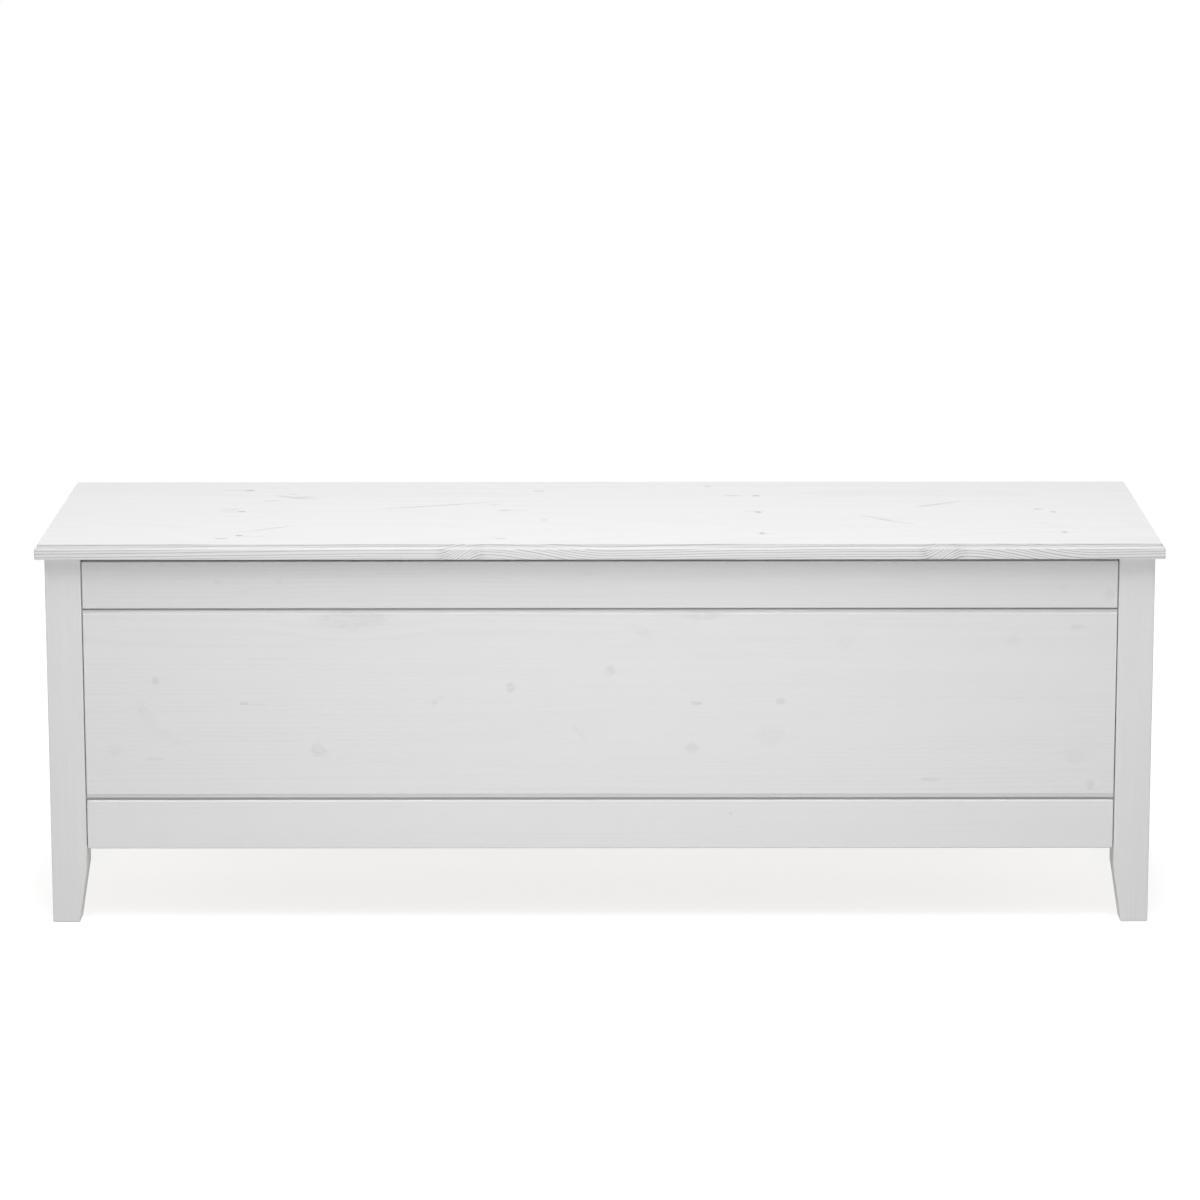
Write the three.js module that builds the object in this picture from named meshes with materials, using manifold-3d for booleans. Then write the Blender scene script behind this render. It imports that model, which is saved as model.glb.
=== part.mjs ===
// A bench-height blanket chest in white-glazed pine. Millimetres, +Z up, front towards -Y, and the
// origin on the floor under the middle of the lid.
// Four tapered legs hold a tenoned rail, a grooved-in panel and a lower rail on each side. Boards on
// cleats make the bottom. The lid turns on two butt hinges at the back, and a slotted stay at each
// end stops it when it is open.

import * as THREE from "three";
import { mergeVertices } from "three/addons/utils/BufferGeometryUtils.js";
import Module from "manifold-3d";

const wasm = await Module();
wasm.setup();

// Overall sizes
const lidWidth = 1384;
const lidDepth = 450;
const totalHeight = 480;
const lidThickness = 19;
const lidOverhang = 11;

// Clearances
const fitGap = 0.3; // round a piece in its cut, or under a piece that is seated
const shoulderGap = 0.9; // between the end of a rail or panel and its leg
const boardGap = 0.6; // between bottom boards, and round their edges
const cutOverrun = 5; // how far a cutter runs out of the wood

// Rounded arrises
const boardEase = 1.5;
const footEase = 1.5;
const panelEase = 0.9;
const panelLipEase = 0.5;
const bottomBoardEase = 1;

// The moulding round the top of the lid: a small step, and a hollow under it
const lidStepDrop = 1.6;
const lidHollowRun = 4;
const lidHollowDrop = 4.1;
const lidMouldingEase = 0.4;

// Legs
const legSide = 44;
const legFootSide = 33.5;
const legTaperHeight = 71;

// Rails, and the tenons that join them to the legs
const railThickness = 20;
const railSetback = 1.5;
const topRailHeight = 59;
const backRailDrop = 1; // how much lower the back top rail ends, to seat the hinges
const bottomRailHeight = 61.5;
const bottomRailClearance = 94;
const tenonThickness = 10;
const tenonLength = 22;
const tenonEdgeInset = 6;
const tenonGrooveInset = 12;
const mortiseSpare = 1;

// Panels: hollowed along the top and bottom, with a tongue all round
const panelThickness = 18;
const panelHollowDrop = 5.2;
const panelHollowDepth = 3.4;
const panelTopGap = 1.6;
const panelBottomGap = 3;
const tongueThickness = 6;
const tongueReach = 6.5;
const grooveDepth = 8;

// Bottom: cleats on the lower rails, a bearer across the middle, and tongued boards
const cleatSide = 20;
const cleatHeightAboveRail = 4;
const cleatEndGap = 2;
const bearerWidth = 40;
const bearerHeight = 24;
const boardThickness = 12;
const boardCount = 4;
const boardTongueThickness = 4;
const boardTongueReach = 4;

// Battens under the lid
const battenWidth = 45;
const battenThickness = 18;
const battenLength = 330;
const battenChamfer = 10;
const battenPlaceShares = [-0.405, 0, 0.405];

// Butt hinges
const hingeLength = 76;
const hingeLeafWidth = 20;
const hingeLeafThickness = 1.2;
const hingeCornerRadius = 3;
const knuckleRadius = 2.3;
const knuckleGap = 0.4;
const knuckleBackGap = 0.7;
const knuckleCount = 5;
const pinRadius = 1;
const pinHeadRadius = 1.7;
const pinHeadHeight = 1;
const hingePlaceShares = [-0.33, 0.33];

// Slotted stays: the lid pivot and the fixed stud lie at one radius from the hinge axis
const lidOpenDegrees = 95;
const stayRadiusShare = 0.4536; // share of the clear height inside the closed chest
const stayPivotDrop = 14;
const stayStudDrop = 46;
const armThickness = 2;
const armWidth = 13;
const armGap = 0.6;
const studRadius = 3;
const studHeadRadius = 6;
const studHeadThickness = 2;
const studCollarRadius = 6.5;
const studCollarThickness = 1.5;
const studShankRadius = 2;
const bracketThickness = 2;
const bracketFlangeWidth = 24;
const bracketLength = 32;
const rivetRadius = 2.5;
const rivetHeadRadius = 4.5;
const rivetHeadThickness = 1.2;

// Screws
const smallHeadRadius = 2.8;
const smallHeadHeight = 1.5;
const smallShankRadius = 1.3;
const largeHeadRadius = 3.8;
const largeHeadHeight = 2.4;
const largeShankRadius = 1.9;
const screwBiteShare = 0.62; // share of the second piece's thickness that a screw goes into

// How finely round shapes are cut
const roundSides = 16;
const screwSides = 10;
const arcSteps = 8;
const easeSteps = 2;
const hollowSteps = 5;
const cornerSteps = 3;

// Places worked out from the sizes above
const caseWidth = lidWidth - 2 * lidOverhang;
const caseDepth = lidDepth - 2 * lidOverhang;
const lidUnderside = totalHeight - lidThickness;
const legHeight = lidUnderside - fitGap;
const hingeAxisHeight = lidUnderside - fitGap - knuckleRadius;
const backRailTop = hingeAxisHeight - knuckleRadius - fitGap;
const topRailTop = backRailTop + backRailDrop;
const topRailBottom = topRailTop - topRailHeight;
const bottomRailTop = bottomRailClearance + bottomRailHeight;
const wallInset = railSetback + railThickness;
const hingeAxisDepth = caseDepth / 2 - railSetback + knuckleBackGap + knuckleRadius;
const frontClear = caseWidth - 2 * legSide;
const endClear = caseDepth - 2 * legSide;
const tongueStart = (railThickness - tongueThickness) / 2;
const cleatTop = bottomRailClearance + cleatHeightAboveRail + cleatSide;
const cleatLap = cleatSide / 2;
const boardBottom = cleatTop + fitGap;
const boardTop = boardBottom + boardThickness;

// Solids: three.js makes the shapes, and the library cuts and joins them

function solidFrom(geometry) {
  const bare = geometry.index ? geometry.toNonIndexed() : geometry.clone();
  bare.deleteAttribute("normal");
  bare.deleteAttribute("uv");
  const merged = mergeVertices(bare);
  const mesh = new wasm.Mesh({
    numProp: 3,
    vertProperties: merged.attributes.position.array,
    triVerts: merged.index.array,
  });
  return new wasm.Manifold(mesh);
}

function geometryFrom(solid) {
  const mesh = solid.getMesh();
  const geometry = new THREE.BufferGeometry();
  geometry.setAttribute("position", new THREE.BufferAttribute(mesh.vertProperties, 3));
  geometry.setIndex(new THREE.BufferAttribute(mesh.triVerts, 1));
  geometry.computeVertexNormals();
  return geometry;
}

function joined(solids) {
  return solids.reduce((whole, piece) => whole.add(piece));
}

function without(solid, cutters) {
  return cutters.reduce((rest, cutter) => rest.subtract(cutter), solid);
}

// A box between two corners
function block(xLow, xHigh, yLow, yHigh, zLow, zHigh) {
  const geometry = new THREE.BoxGeometry(xHigh - xLow, yHigh - yLow, zHigh - zLow);
  geometry.translate((xLow + xHigh) / 2, (yLow + yHigh) / 2, (zLow + zHigh) / 2);
  return solidFrom(geometry);
}

// The rectangle {xLow, xHigh, yLow, yHigh, z} as a ring of points with rounded corners
function roundedRing({ xLow, xHigh, yLow, yHigh, z }, radius, steps) {
  const corners = [
    { x: xHigh - radius, y: yHigh - radius },
    { x: xLow + radius, y: yHigh - radius },
    { x: xLow + radius, y: yLow + radius },
    { x: xHigh - radius, y: yLow + radius },
  ];
  return corners.flatMap(({ x, y }, quarter) => Array.from({ length: steps + 1 }, (_, step) => {
    const angle = (quarter + step / steps) * Math.PI / 2;
    return [x + radius * Math.cos(angle), y + radius * Math.sin(angle), z];
  }));
}

// A solid through rings of as many points each, stacked upwards
function stackedRings(rings) {
  const count = rings[0].length;
  const faces = [];
  for (let index = 2; index < count; index += 1) {
    faces.push([0, index, index - 1]);
  }
  for (let level = 0; level < rings.length - 1; level += 1) {
    for (let index = 0; index < count; index += 1) {
      const low = count * level + index;
      const lowNext = count * level + ((index + 1) % count);
      faces.push([low, lowNext, lowNext + count]);
      faces.push([low, lowNext + count, low + count]);
    }
  }
  const top = count * (rings.length - 1);
  for (let index = 2; index < count; index += 1) {
    faces.push([top, top + index - 1, top + index]);
  }
  const geometry = new THREE.BufferGeometry();
  geometry.setAttribute("position", new THREE.Float32BufferAttribute(rings.flat(2), 3));
  geometry.setIndex(faces.flat());
  return solidFrom(geometry);
}

function insetRectangle({ xLow, xHigh, yLow, yHigh }, inset, z) {
  return { xLow: xLow + inset, xHigh: xHigh - inset, yLow: yLow + inset, yHigh: yHigh - inset, z };
}

// How far in and up each step of a quarter round lies, from the flat under it to the face beside it
function quarterRound(ease) {
  return Array.from({ length: easeSteps + 1 }, (_, step) => {
    const angle = (step / easeSteps) * Math.PI / 2;
    return { inset: ease * (1 - Math.sin(angle)), rise: ease * (1 - Math.cos(angle)) };
  });
}

// A block with all its arrises rounded
function easedBlock(xLow, xHigh, yLow, yHigh, zLow, zHigh) {
  const rectangle = { xLow, xHigh, yLow, yHigh };
  const round = quarterRound(boardEase);
  const levels = [
    ...round.map(({ inset, rise }) => insetRectangle(rectangle, inset, zLow + rise)),
    ...round.map(({ inset, rise }) => insetRectangle(rectangle, inset, zHigh - rise)).reverse(),
  ];
  return stackedRings(levels.map((level) => roundedRing(level, boardEase, easeSteps)));
}

// A flat plate with rounded corners
function cornerPlate(xLow, xHigh, yLow, yHigh, zLow, zHigh, radius) {
  const rectangle = { xLow, xHigh, yLow, yHigh };
  return stackedRings([zLow, zHigh].map((z) => roundedRing({ ...rectangle, z }, radius, cornerSteps)));
}

// An open outline with its inner corners rounded off, each over a length on both sides
function softened(corners, length) {
  const vectors = corners.map(([a, b]) => new THREE.Vector2(a, b));
  const last = vectors.length - 1;
  return vectors.flatMap((corner, index) => {
    if (index === 0 || index === last) {
      return [corner.toArray()];
    }
    const before = vectors[index - 1].clone().sub(corner).setLength(length).add(corner);
    const after = vectors[index + 1].clone().sub(corner).setLength(length).add(corner);
    const curve = new THREE.QuadraticBezierCurve(before, corner, after);
    return curve.getPoints(easeSteps).map((point) => point.toArray());
  });
}

// A hollow quarter from one point to another, bending round the corner between them
function hollow(start, corner, end) {
  const [first, bend, last] = [start, corner, end].map(([a, b]) => new THREE.Vector2(a, b));
  const curve = new THREE.QuadraticBezierCurve(first, bend, last);
  return curve.getPoints(hollowSteps).map((point) => point.toArray());
}

// A shape drawn in y and z, extruded along x
function extrudedAlongX(shape, xLow, xHigh) {
  const geometry = new THREE.ExtrudeGeometry(shape, {
    depth: xHigh - xLow,
    bevelEnabled: false,
    curveSegments: arcSteps,
  });
  const along = new THREE.Vector3(1, 0, 0);
  const across = new THREE.Vector3(0, 1, 0);
  const up = new THREE.Vector3(0, 0, 1);
  geometry.applyMatrix4(new THREE.Matrix4().makeBasis(across, up, along));
  geometry.translate(xLow, 0, 0);
  return solidFrom(geometry);
}

function polygon(points) {
  return new THREE.Shape(points.map(([y, z]) => new THREE.Vector2(y, z)));
}

// A turned shape about an x-wise axis through a centre, from points given as [radius, x]
function turnedAlongX(profile, sides, [y, z]) {
  const rises = profile[0][1] < profile[profile.length - 1][1];
  const ordered = rises ? profile : [...profile].reverse();
  const points = ordered.map(([radius, along]) => new THREE.Vector2(radius, -along));
  const geometry = new THREE.LatheGeometry(points.reverse(), sides);
  geometry.rotateZ(Math.PI / 2);
  geometry.translate(0, y, z);
  return geometry;
}

function rodAlongX(radius, xStart, xEnd, sides, centre) {
  return turnedAlongX([[0, xStart], [radius, xStart], [radius, xEnd], [0, xEnd]], sides, centre);
}

// Screws

const smallScrew = {
  headRadius: smallHeadRadius,
  headHeight: smallHeadHeight,
  shankRadius: smallShankRadius,
};
const largeScrew = {
  headRadius: largeHeadRadius,
  headHeight: largeHeadHeight,
  shankRadius: largeShankRadius,
};

// Places a shape that is turned about +Y with its top at zero, so that its top looks away from "into"
function aimed(geometry, at, into) {
  const topUp = new THREE.Vector3(0, 1, 0);
  const outwards = new THREE.Vector3(-into[0], -into[1], -into[2]);
  geometry.applyQuaternion(new THREE.Quaternion().setFromUnitVectors(topUp, outwards));
  geometry.translate(at[0], at[1], at[2]);
  return geometry;
}

// A countersunk screw with the middle of its head at "at", in the frame of the whole chest
function screwGeometry({ kind, at, into, length }) {
  const profile = [
    [0, -length],
    [kind.shankRadius, -length + 2 * kind.shankRadius],
    [kind.shankRadius, -kind.headHeight],
    [kind.headRadius, 0],
    [0, 0],
  ];
  const points = profile.map(([radius, height]) => new THREE.Vector2(radius, height));
  return aimed(new THREE.LatheGeometry(points, screwSides), at, into);
}

// The countersunk hole for it
function screwHoleGeometry({ kind, at, into, length }) {
  const profile = [
    [0, -length - fitGap],
    [kind.shankRadius + fitGap, -length - fitGap],
    [kind.shankRadius + fitGap, -kind.headHeight],
    [kind.headRadius + fitGap, 0],
    [kind.headRadius + fitGap, cutOverrun],
    [0, cutOverrun],
  ];
  const points = profile.map(([radius, height]) => new THREE.Vector2(radius, height));
  return aimed(new THREE.LatheGeometry(points, screwSides), at, into);
}

// Scene graph

const chest = new THREE.Group();

function placedGroup(x, y, z, turn) {
  const group = new THREE.Group();
  group.position.set(x, y, z);
  group.rotation.z = turn;
  group.updateMatrix();
  chest.add(group);
  return group;
}

const whole = placedGroup(0, 0, 0, 0);

// Cuts shapes in the frame of the whole chest out of a solid in the frame of a placed group
function cutByPlace(solid, group, geometries) {
  const toGroup = group.matrix.clone().invert();
  return without(solid, geometries.map((geometry) => solidFrom(geometry.clone().applyMatrix4(toGroup))));
}

function drilled(solid, group, screws) {
  return cutByPlace(solid, group, screws.map(screwHoleGeometry));
}

const wood = () => new THREE.MeshStandardMaterial({ color: 0xe4e4e3, roughness: 0.55, metalness: 0 });
const bareWood = () => new THREE.MeshStandardMaterial({ color: 0xd8c6a4, roughness: 0.7, metalness: 0 });
const steel = () => new THREE.MeshStandardMaterial({ color: 0xb4b6b8, roughness: 0.35, metalness: 1 });

function addMesh(group, name, solid, material) {
  const mesh = new THREE.Mesh(geometryFrom(solid), material);
  mesh.name = name;
  group.add(mesh);
}

function addScrews(screws) {
  for (const screw of screws) {
    addMesh(whole, screw.name, solidFrom(screwGeometry(screw)), steel());
  }
}

// Hinge screws: two near the leaf's free edge and one in the middle, nearer the pin
const sideWords = ["left", "right"];
const hingePlaces = hingePlaceShares.map((share) => share * caseWidth);
const hingeScrewSpots = [
  { alongShare: -0.36, acrossShare: 0.72 },
  { alongShare: 0, acrossShare: 0.45 },
  { alongShare: 0.36, acrossShare: 0.72 },
];

function hingeScrews(leaf, height, into) {
  return hingePlaces.flatMap((place, side) => hingeScrewSpots.map((spot, index) => ({
    name: `hinge_${leaf}_screw_${sideWords[side]}_${index + 1}`,
    kind: smallScrew,
    at: [
      place + spot.alongShare * hingeLength,
      hingeAxisDepth - spot.acrossShare * hingeLeafWidth,
      height,
    ],
    into,
    length: hingeLeafThickness + fitGap + screwBiteShare * lidThickness,
  })));
}

const caseLeafTop = backRailTop + fitGap + hingeLeafThickness;
const lidLeafBottom = lidUnderside - fitGap - hingeLeafThickness;
const hingeCaseScrews = hingeScrews("case", caseLeafTop, [0, 0, -1]);
const hingeLidScrews = hingeScrews("lid", lidLeafBottom, [0, 0, 1]);

const battenPlaces = battenPlaceShares.map((share) => share * caseWidth);
const battenScrewShares = [-0.38, 0, 0.38];
const battenScrewHoles = battenPlaces.flatMap((place) => battenScrewShares.map((share) => ({
  kind: largeScrew,
  at: [place, share * battenLength, lidUnderside - fitGap - battenThickness],
  into: [0, 0, 1],
  length: battenThickness + fitGap + screwBiteShare * lidThickness,
})));

// Stay places, from the two equal sides of a triangle with its tip on the hinge axis
const stayRadius = stayRadiusShare * (lidUnderside - boardTop);
const pivotHeight = lidUnderside - stayPivotDrop;
const studHeight = lidUnderside - stayStudDrop;
const pivotDepth = hingeAxisDepth - Math.sqrt(stayRadius ** 2 - (hingeAxisHeight - pivotHeight) ** 2);
const studDepth = hingeAxisDepth - Math.sqrt(stayRadius ** 2 - (hingeAxisHeight - studHeight) ** 2);
const closedReach = Math.hypot(studDepth - pivotDepth, studHeight - pivotHeight);
const closedAngle = 2 * Math.asin(closedReach / (2 * stayRadius));
const openAngle = closedAngle + THREE.MathUtils.degToRad(lidOpenDegrees);
const openReach = 2 * stayRadius * Math.sin(openAngle / 2);
const armRestAngle = Math.atan2(studDepth - pivotDepth, pivotHeight - studHeight);

// Stay layers, counted inwards from the inner face of the end rail
const wallInner = caseWidth / 2 - wallInset;
const collarInner = wallInner - fitGap - studCollarThickness;
const armOuter = collarInner - armGap;
const armInner = armOuter - armThickness;
const earOuter = armInner - armGap;
const earInner = earOuter - bracketThickness;
const flangeInner = earInner - bracketFlangeWidth;

const bracketScrewShares = [-0.3, 0.3];
const bracketScrews = [-1, 1].flatMap((side, sideIndex) => bracketScrewShares.map((share, index) => ({
  name: `stay_bracket_screw_${sideWords[sideIndex]}_${index + 1}`,
  kind: smallScrew,
  at: [
    side * (earInner + flangeInner) / 2,
    pivotDepth + share * bracketLength,
    lidUnderside - fitGap - bracketThickness,
  ],
  into: [0, 0, 1],
  length: bracketThickness + fitGap + screwBiteShare * lidThickness,
})));

// Legs: tapered on the two inner faces, with a mortise for each tenon and a groove for each panel.
// The outer corner is at zero and the inner faces look towards plus x and plus y.

function tenonSpan(isTop) {
  return isTop
    ? { low: topRailBottom + tenonGrooveInset, high: topRailTop - tenonEdgeInset }
    : { low: bottomRailClearance + tenonEdgeInset, high: bottomRailTop - tenonGrooveInset };
}

function legBody() {
  const square = (side, inset, z) => {
    return insetRectangle({ xLow: 0, xHigh: side, yLow: 0, yHigh: side }, inset, z);
  };
  const taper = (z) => legFootSide + (legSide - legFootSide) * z / legTaperHeight;
  const foot = quarterRound(footEase).map(({ inset, rise }) => square(taper(rise), inset, rise));
  const top = quarterRound(boardEase).map(({ inset, rise }) => square(legSide, inset, legHeight - rise));
  const levels = [...foot, square(legSide, 0, legTaperHeight), ...top.reverse()];
  return stackedRings(levels.map((level) => roundedRing(level, boardEase, easeSteps)));
}

// The cuts for the wall that runs along x, and the same cuts for the wall that runs along y
function legCuts() {
  const mortiseLow = railSetback + (railThickness - tenonThickness) / 2 - fitGap;
  const mortiseHigh = mortiseLow + tenonThickness + 2 * fitGap;
  const mortiseFloor = legSide - tenonLength - mortiseSpare;
  const grooveLow = railSetback + tongueStart - fitGap;
  const grooveHigh = grooveLow + tongueThickness + 2 * fitGap;
  const grooveFloor = legSide - grooveDepth;
  const grooveBase = bottomRailTop - grooveDepth;
  const grooveTop = topRailBottom + grooveDepth;
  const open = legSide + cutOverrun;
  const mortises = [true, false].flatMap((isTop) => {
    const base = tenonSpan(isTop).low - fitGap;
    const top = tenonSpan(isTop).high + fitGap;
    return [
      block(mortiseFloor, open, mortiseLow, mortiseHigh, base, top),
      block(mortiseLow, mortiseHigh, mortiseFloor, open, base, top),
    ];
  });
  return [
    ...mortises,
    block(grooveFloor, open, grooveLow, grooveHigh, grooveBase, grooveTop),
    block(grooveLow, grooveHigh, grooveFloor, open, grooveBase, grooveTop),
  ];
}

function addLegs() {
  const corners = [
    { name: "leg_front_left", xSide: -1, ySide: -1, turn: 0 },
    { name: "leg_front_right", xSide: 1, ySide: -1, turn: Math.PI / 2 },
    { name: "leg_back_right", xSide: 1, ySide: 1, turn: Math.PI },
    { name: "leg_back_left", xSide: -1, ySide: 1, turn: -Math.PI / 2 },
  ];
  const leg = without(legBody(), legCuts());
  for (const { name, xSide, ySide, turn } of corners) {
    const group = placedGroup(xSide * caseWidth / 2, ySide * caseDepth / 2, 0, turn);
    addMesh(group, name, leg, wood());
  }
}

// Walls: x along the wall, y inwards from the rails' outer faces

function railSolid(isTop, clear, top) {
  const half = clear / 2;
  const { low, high } = tenonSpan(isTop);
  const tenonFront = (railThickness - tenonThickness) / 2;
  const tenonEnd = half + tenonLength;
  const base = isTop ? topRailBottom : bottomRailClearance;
  const board = easedBlock(-half + shoulderGap, half - shoulderGap, 0, railThickness, base, top);
  const tenon = block(-tenonEnd, tenonEnd, tenonFront, tenonFront + tenonThickness, low, high);
  const groove = block(
    -half,
    half,
    tongueStart - fitGap,
    tongueStart + tongueThickness + fitGap,
    isTop ? base - cutOverrun : top - grooveDepth,
    isTop ? base + grooveDepth : top + cutOverrun,
  );
  return without(joined([board, tenon]), [groove]);
}

function panelSolid(clear) {
  const half = clear / 2;
  const low = bottomRailTop + panelBottomGap;
  const high = topRailBottom - panelTopGap;
  const tongueBack = tongueStart + tongueThickness;
  const tongueLow = bottomRailTop - tongueReach;
  const tongueHigh = topRailBottom + tongueReach;
  const tongueEnd = half + tongueReach;
  const lipHigh = high - panelHollowDrop;
  const lipLow = low + panelHollowDrop;
  const lipEnd = 2 * panelLipEase;
  const front = softened([[lipEnd, lipHigh], [0, lipHigh], [0, lipLow], [lipEnd, lipLow]], panelLipEase);
  const face = [
    [tongueStart, high],
    ...hollow([panelHollowDepth, high], [panelHollowDepth, lipHigh], [lipEnd, lipHigh]),
    ...front.slice(1, -1),
    ...hollow([lipEnd, lipLow], [panelHollowDepth, lipLow], [panelHollowDepth, low]),
    [tongueStart, low],
  ];
  const back = softened([
    [tongueBack, low],
    [panelThickness, low],
    [panelThickness, high],
    [tongueBack, high],
  ], panelEase);
  const profile = polygon([
    ...face,
    [tongueStart, tongueLow],
    [tongueBack, tongueLow],
    ...back,
    [tongueBack, tongueHigh],
    [tongueStart, tongueHigh],
  ]);
  const end = half - shoulderGap;
  const tall = easedBlock(-end, end, 0, panelThickness, tongueLow - boardEase, tongueHigh + boardEase);
  const board = extrudedAlongX(profile, -end, end).intersect(tall);
  const tongue = block(-tongueEnd, tongueEnd, tongueStart, tongueBack, tongueLow, tongueHigh);
  return joined([board, tongue]);
}

function cleatSolid(clear, hasLap) {
  const half = clear / 2 - cleatEndGap;
  const outer = railThickness + fitGap;
  const inner = outer + cleatSide;
  const cleat = easedBlock(-half, half, outer, inner, cleatTop - cleatSide, cleatTop);
  if (!hasLap) {
    return cleat;
  }
  const halfLap = bearerWidth / 2 + fitGap;
  const lapFloor = cleatTop - cleatLap - fitGap;
  const lap = block(
    -halfLap,
    halfLap,
    outer - cutOverrun,
    inner + cutOverrun,
    lapFloor,
    cleatTop + cutOverrun,
  );
  return without(cleat, [lap]);
}

function addWall({ name, clear, group, railTop = topRailTop, railHoles = [], hasLap = false }) {
  const topRail = cutByPlace(railSolid(true, clear, railTop), group, railHoles);
  addMesh(group, `${name}_top_rail`, topRail, wood());
  addMesh(group, `${name}_panel`, panelSolid(clear), wood());
  addMesh(group, `${name}_bottom_rail`, railSolid(false, clear, bottomRailTop), wood());
  addMesh(group, `${name}_cleat`, cleatSolid(clear, hasLap), bareWood());
}

// The shank of a stay's shoulder screw runs outwards from its collar into the end rail
function studShankEnd(side) {
  return side * (wallInner + screwBiteShare * railThickness);
}

function studHole(side) {
  const start = side * (wallInner - cutOverrun);
  const end = studShankEnd(side) + side * fitGap;
  return rodAlongX(studShankRadius + fitGap, start, end, roundSides, [studDepth, studHeight]);
}

function addWalls() {
  const outX = caseWidth / 2 - railSetback;
  const outY = caseDepth / 2 - railSetback;
  const quarter = Math.PI / 2;
  const hingeHoles = hingeCaseScrews.map(screwHoleGeometry);
  addWall({ name: "front", clear: frontClear, group: placedGroup(0, -outY, 0, 0), hasLap: true });
  addWall({
    name: "back",
    clear: frontClear,
    group: placedGroup(0, outY, 0, 2 * quarter),
    railTop: backRailTop,
    railHoles: hingeHoles,
    hasLap: true,
  });
  for (const [side, name] of [[-1, "left"], [1, "right"]]) {
    const group = placedGroup(side * outX, 0, 0, side * quarter);
    addWall({ name, clear: endClear, group, railHoles: [studHole(side)] });
  }
}

// Bottom

const innerHalfDepth = caseDepth / 2 - wallInset;
const boardPitch = (2 * innerHalfDepth - boardGap) / boardCount;

// The bearer lies under the boards, lapped over the front and back cleats
function addBearer() {
  const half = bearerWidth / 2;
  const between = innerHalfDepth - cleatSide - 2 * fitGap;
  const reach = innerHalfDepth - fitGap;
  const bar = block(-half, half, -between, between, cleatTop - bearerHeight, cleatTop);
  const laps = block(-half, half, -reach, reach, cleatTop - cleatLap, cleatTop);
  addMesh(whole, "bottom_bearer", joined([bar, laps]), bareWood());
}

function boardProfile(index) {
  const low = -innerHalfDepth + boardGap + index * boardPitch;
  const high = low + boardPitch - boardGap;
  const middle = (boardBottom + boardTop) / 2;
  const tongueHalf = boardTongueThickness / 2;
  const grooveHalf = tongueHalf + fitGap;
  const grooveFloor = low + boardTongueReach + fitGap;
  const tongueTip = high + boardTongueReach;
  const tongue = [
    [high, middle - tongueHalf],
    [tongueTip, middle - tongueHalf],
    [tongueTip, middle + tongueHalf],
    [high, middle + tongueHalf],
  ];
  const groove = [
    [low, middle + grooveHalf],
    [grooveFloor, middle + grooveHalf],
    [grooveFloor, middle - grooveHalf],
    [low, middle - grooveHalf],
  ];
  return polygon([
    [low, boardBottom],
    [high, boardBottom],
    ...(index < boardCount - 1 ? tongue : []),
    [high, boardTop - bottomBoardEase],
    [high - bottomBoardEase, boardTop],
    [low + bottomBoardEase, boardTop],
    [low, boardTop - bottomBoardEase],
    ...(index > 0 ? groove : []),
  ]);
}

function addBoards() {
  const half = wallInner - boardGap;
  const legX = caseWidth / 2 - legSide - boardGap;
  const legY = caseDepth / 2 - legSide - boardGap;
  const outX = caseWidth / 2;
  const outY = caseDepth / 2;
  const low = boardBottom - cutOverrun;
  const high = boardTop + cutOverrun;
  const legNotches = [
    block(-outX, -legX, -outY, -legY, low, high),
    block(legX, outX, -outY, -legY, low, high),
    block(-outX, -legX, legY, outY, low, high),
    block(legX, outX, legY, outY, low, high),
  ];
  for (let index = 0; index < boardCount; index += 1) {
    const board = extrudedAlongX(boardProfile(index), -half, half);
    addMesh(whole, `bottom_board_${index + 1}`, without(board, legNotches), bareWood());
  }
}

// Lid

// How far in and how high each step of the lid's edge lies, from its underside up
function lidEdge() {
  const stepFoot = totalHeight - lidStepDrop;
  const hollowFoot = stepFoot - lidHollowDrop;
  const faceMiddle = (lidUnderside + hollowFoot) / 2;
  const lipEnd = 2 * lidMouldingEase;
  const lower = softened([[2 * boardEase, lidUnderside], [0, lidUnderside], [0, faceMiddle]], boardEase);
  const lip = softened([[0, faceMiddle], [0, hollowFoot], [lipEnd, hollowFoot]], lidMouldingEase);
  const inner = hollow([lipEnd, hollowFoot], [lidHollowRun, hollowFoot], [lidHollowRun, stepFoot]);
  const arris = softened([
    [lidHollowRun, stepFoot],
    [lidHollowRun, totalHeight],
    [lidHollowRun + lipEnd, totalHeight],
  ], lidMouldingEase);
  return [...lower, ...lip.slice(1, -1), ...inner, ...arris.slice(1)];
}

function addLid() {
  const rectangle = { xLow: -lidWidth / 2, xHigh: lidWidth / 2, yLow: -lidDepth / 2, yHigh: lidDepth / 2 };
  const rings = lidEdge().map(([inset, z]) =>
    roundedRing(insetRectangle(rectangle, inset, z), boardEase, cornerSteps));
  const screws = [...hingeLidScrews, ...battenScrewHoles, ...bracketScrews];
  addMesh(whole, "lid_panel", drilled(stackedRings(rings), whole, screws), wood());
}

function addBattens() {
  const half = battenLength / 2;
  const top = lidUnderside - fitGap;
  const bottom = top - battenThickness;
  const profile = polygon([
    [-half + battenChamfer, bottom],
    [half - battenChamfer, bottom],
    [half, bottom + battenChamfer],
    [half, top],
    [-half, top],
    [-half, bottom + battenChamfer],
  ]);
  const names = ["lid_batten_left", "lid_batten_middle", "lid_batten_right"];
  battenPlaces.forEach((place, index) => {
    const low = place - battenWidth / 2;
    const high = place + battenWidth / 2;
    const arrises = easedBlock(low, high, -half, half, bottom, top);
    const batten = extrudedAlongX(profile, low, high).intersect(arrises);
    addMesh(whole, names[index], drilled(batten, whole, battenScrewHoles), wood());
  });
}

// Hinges: drawn with the pin's axis at zero. Even knuckles belong to the case leaf.

const onAxis = [0, 0];

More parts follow.
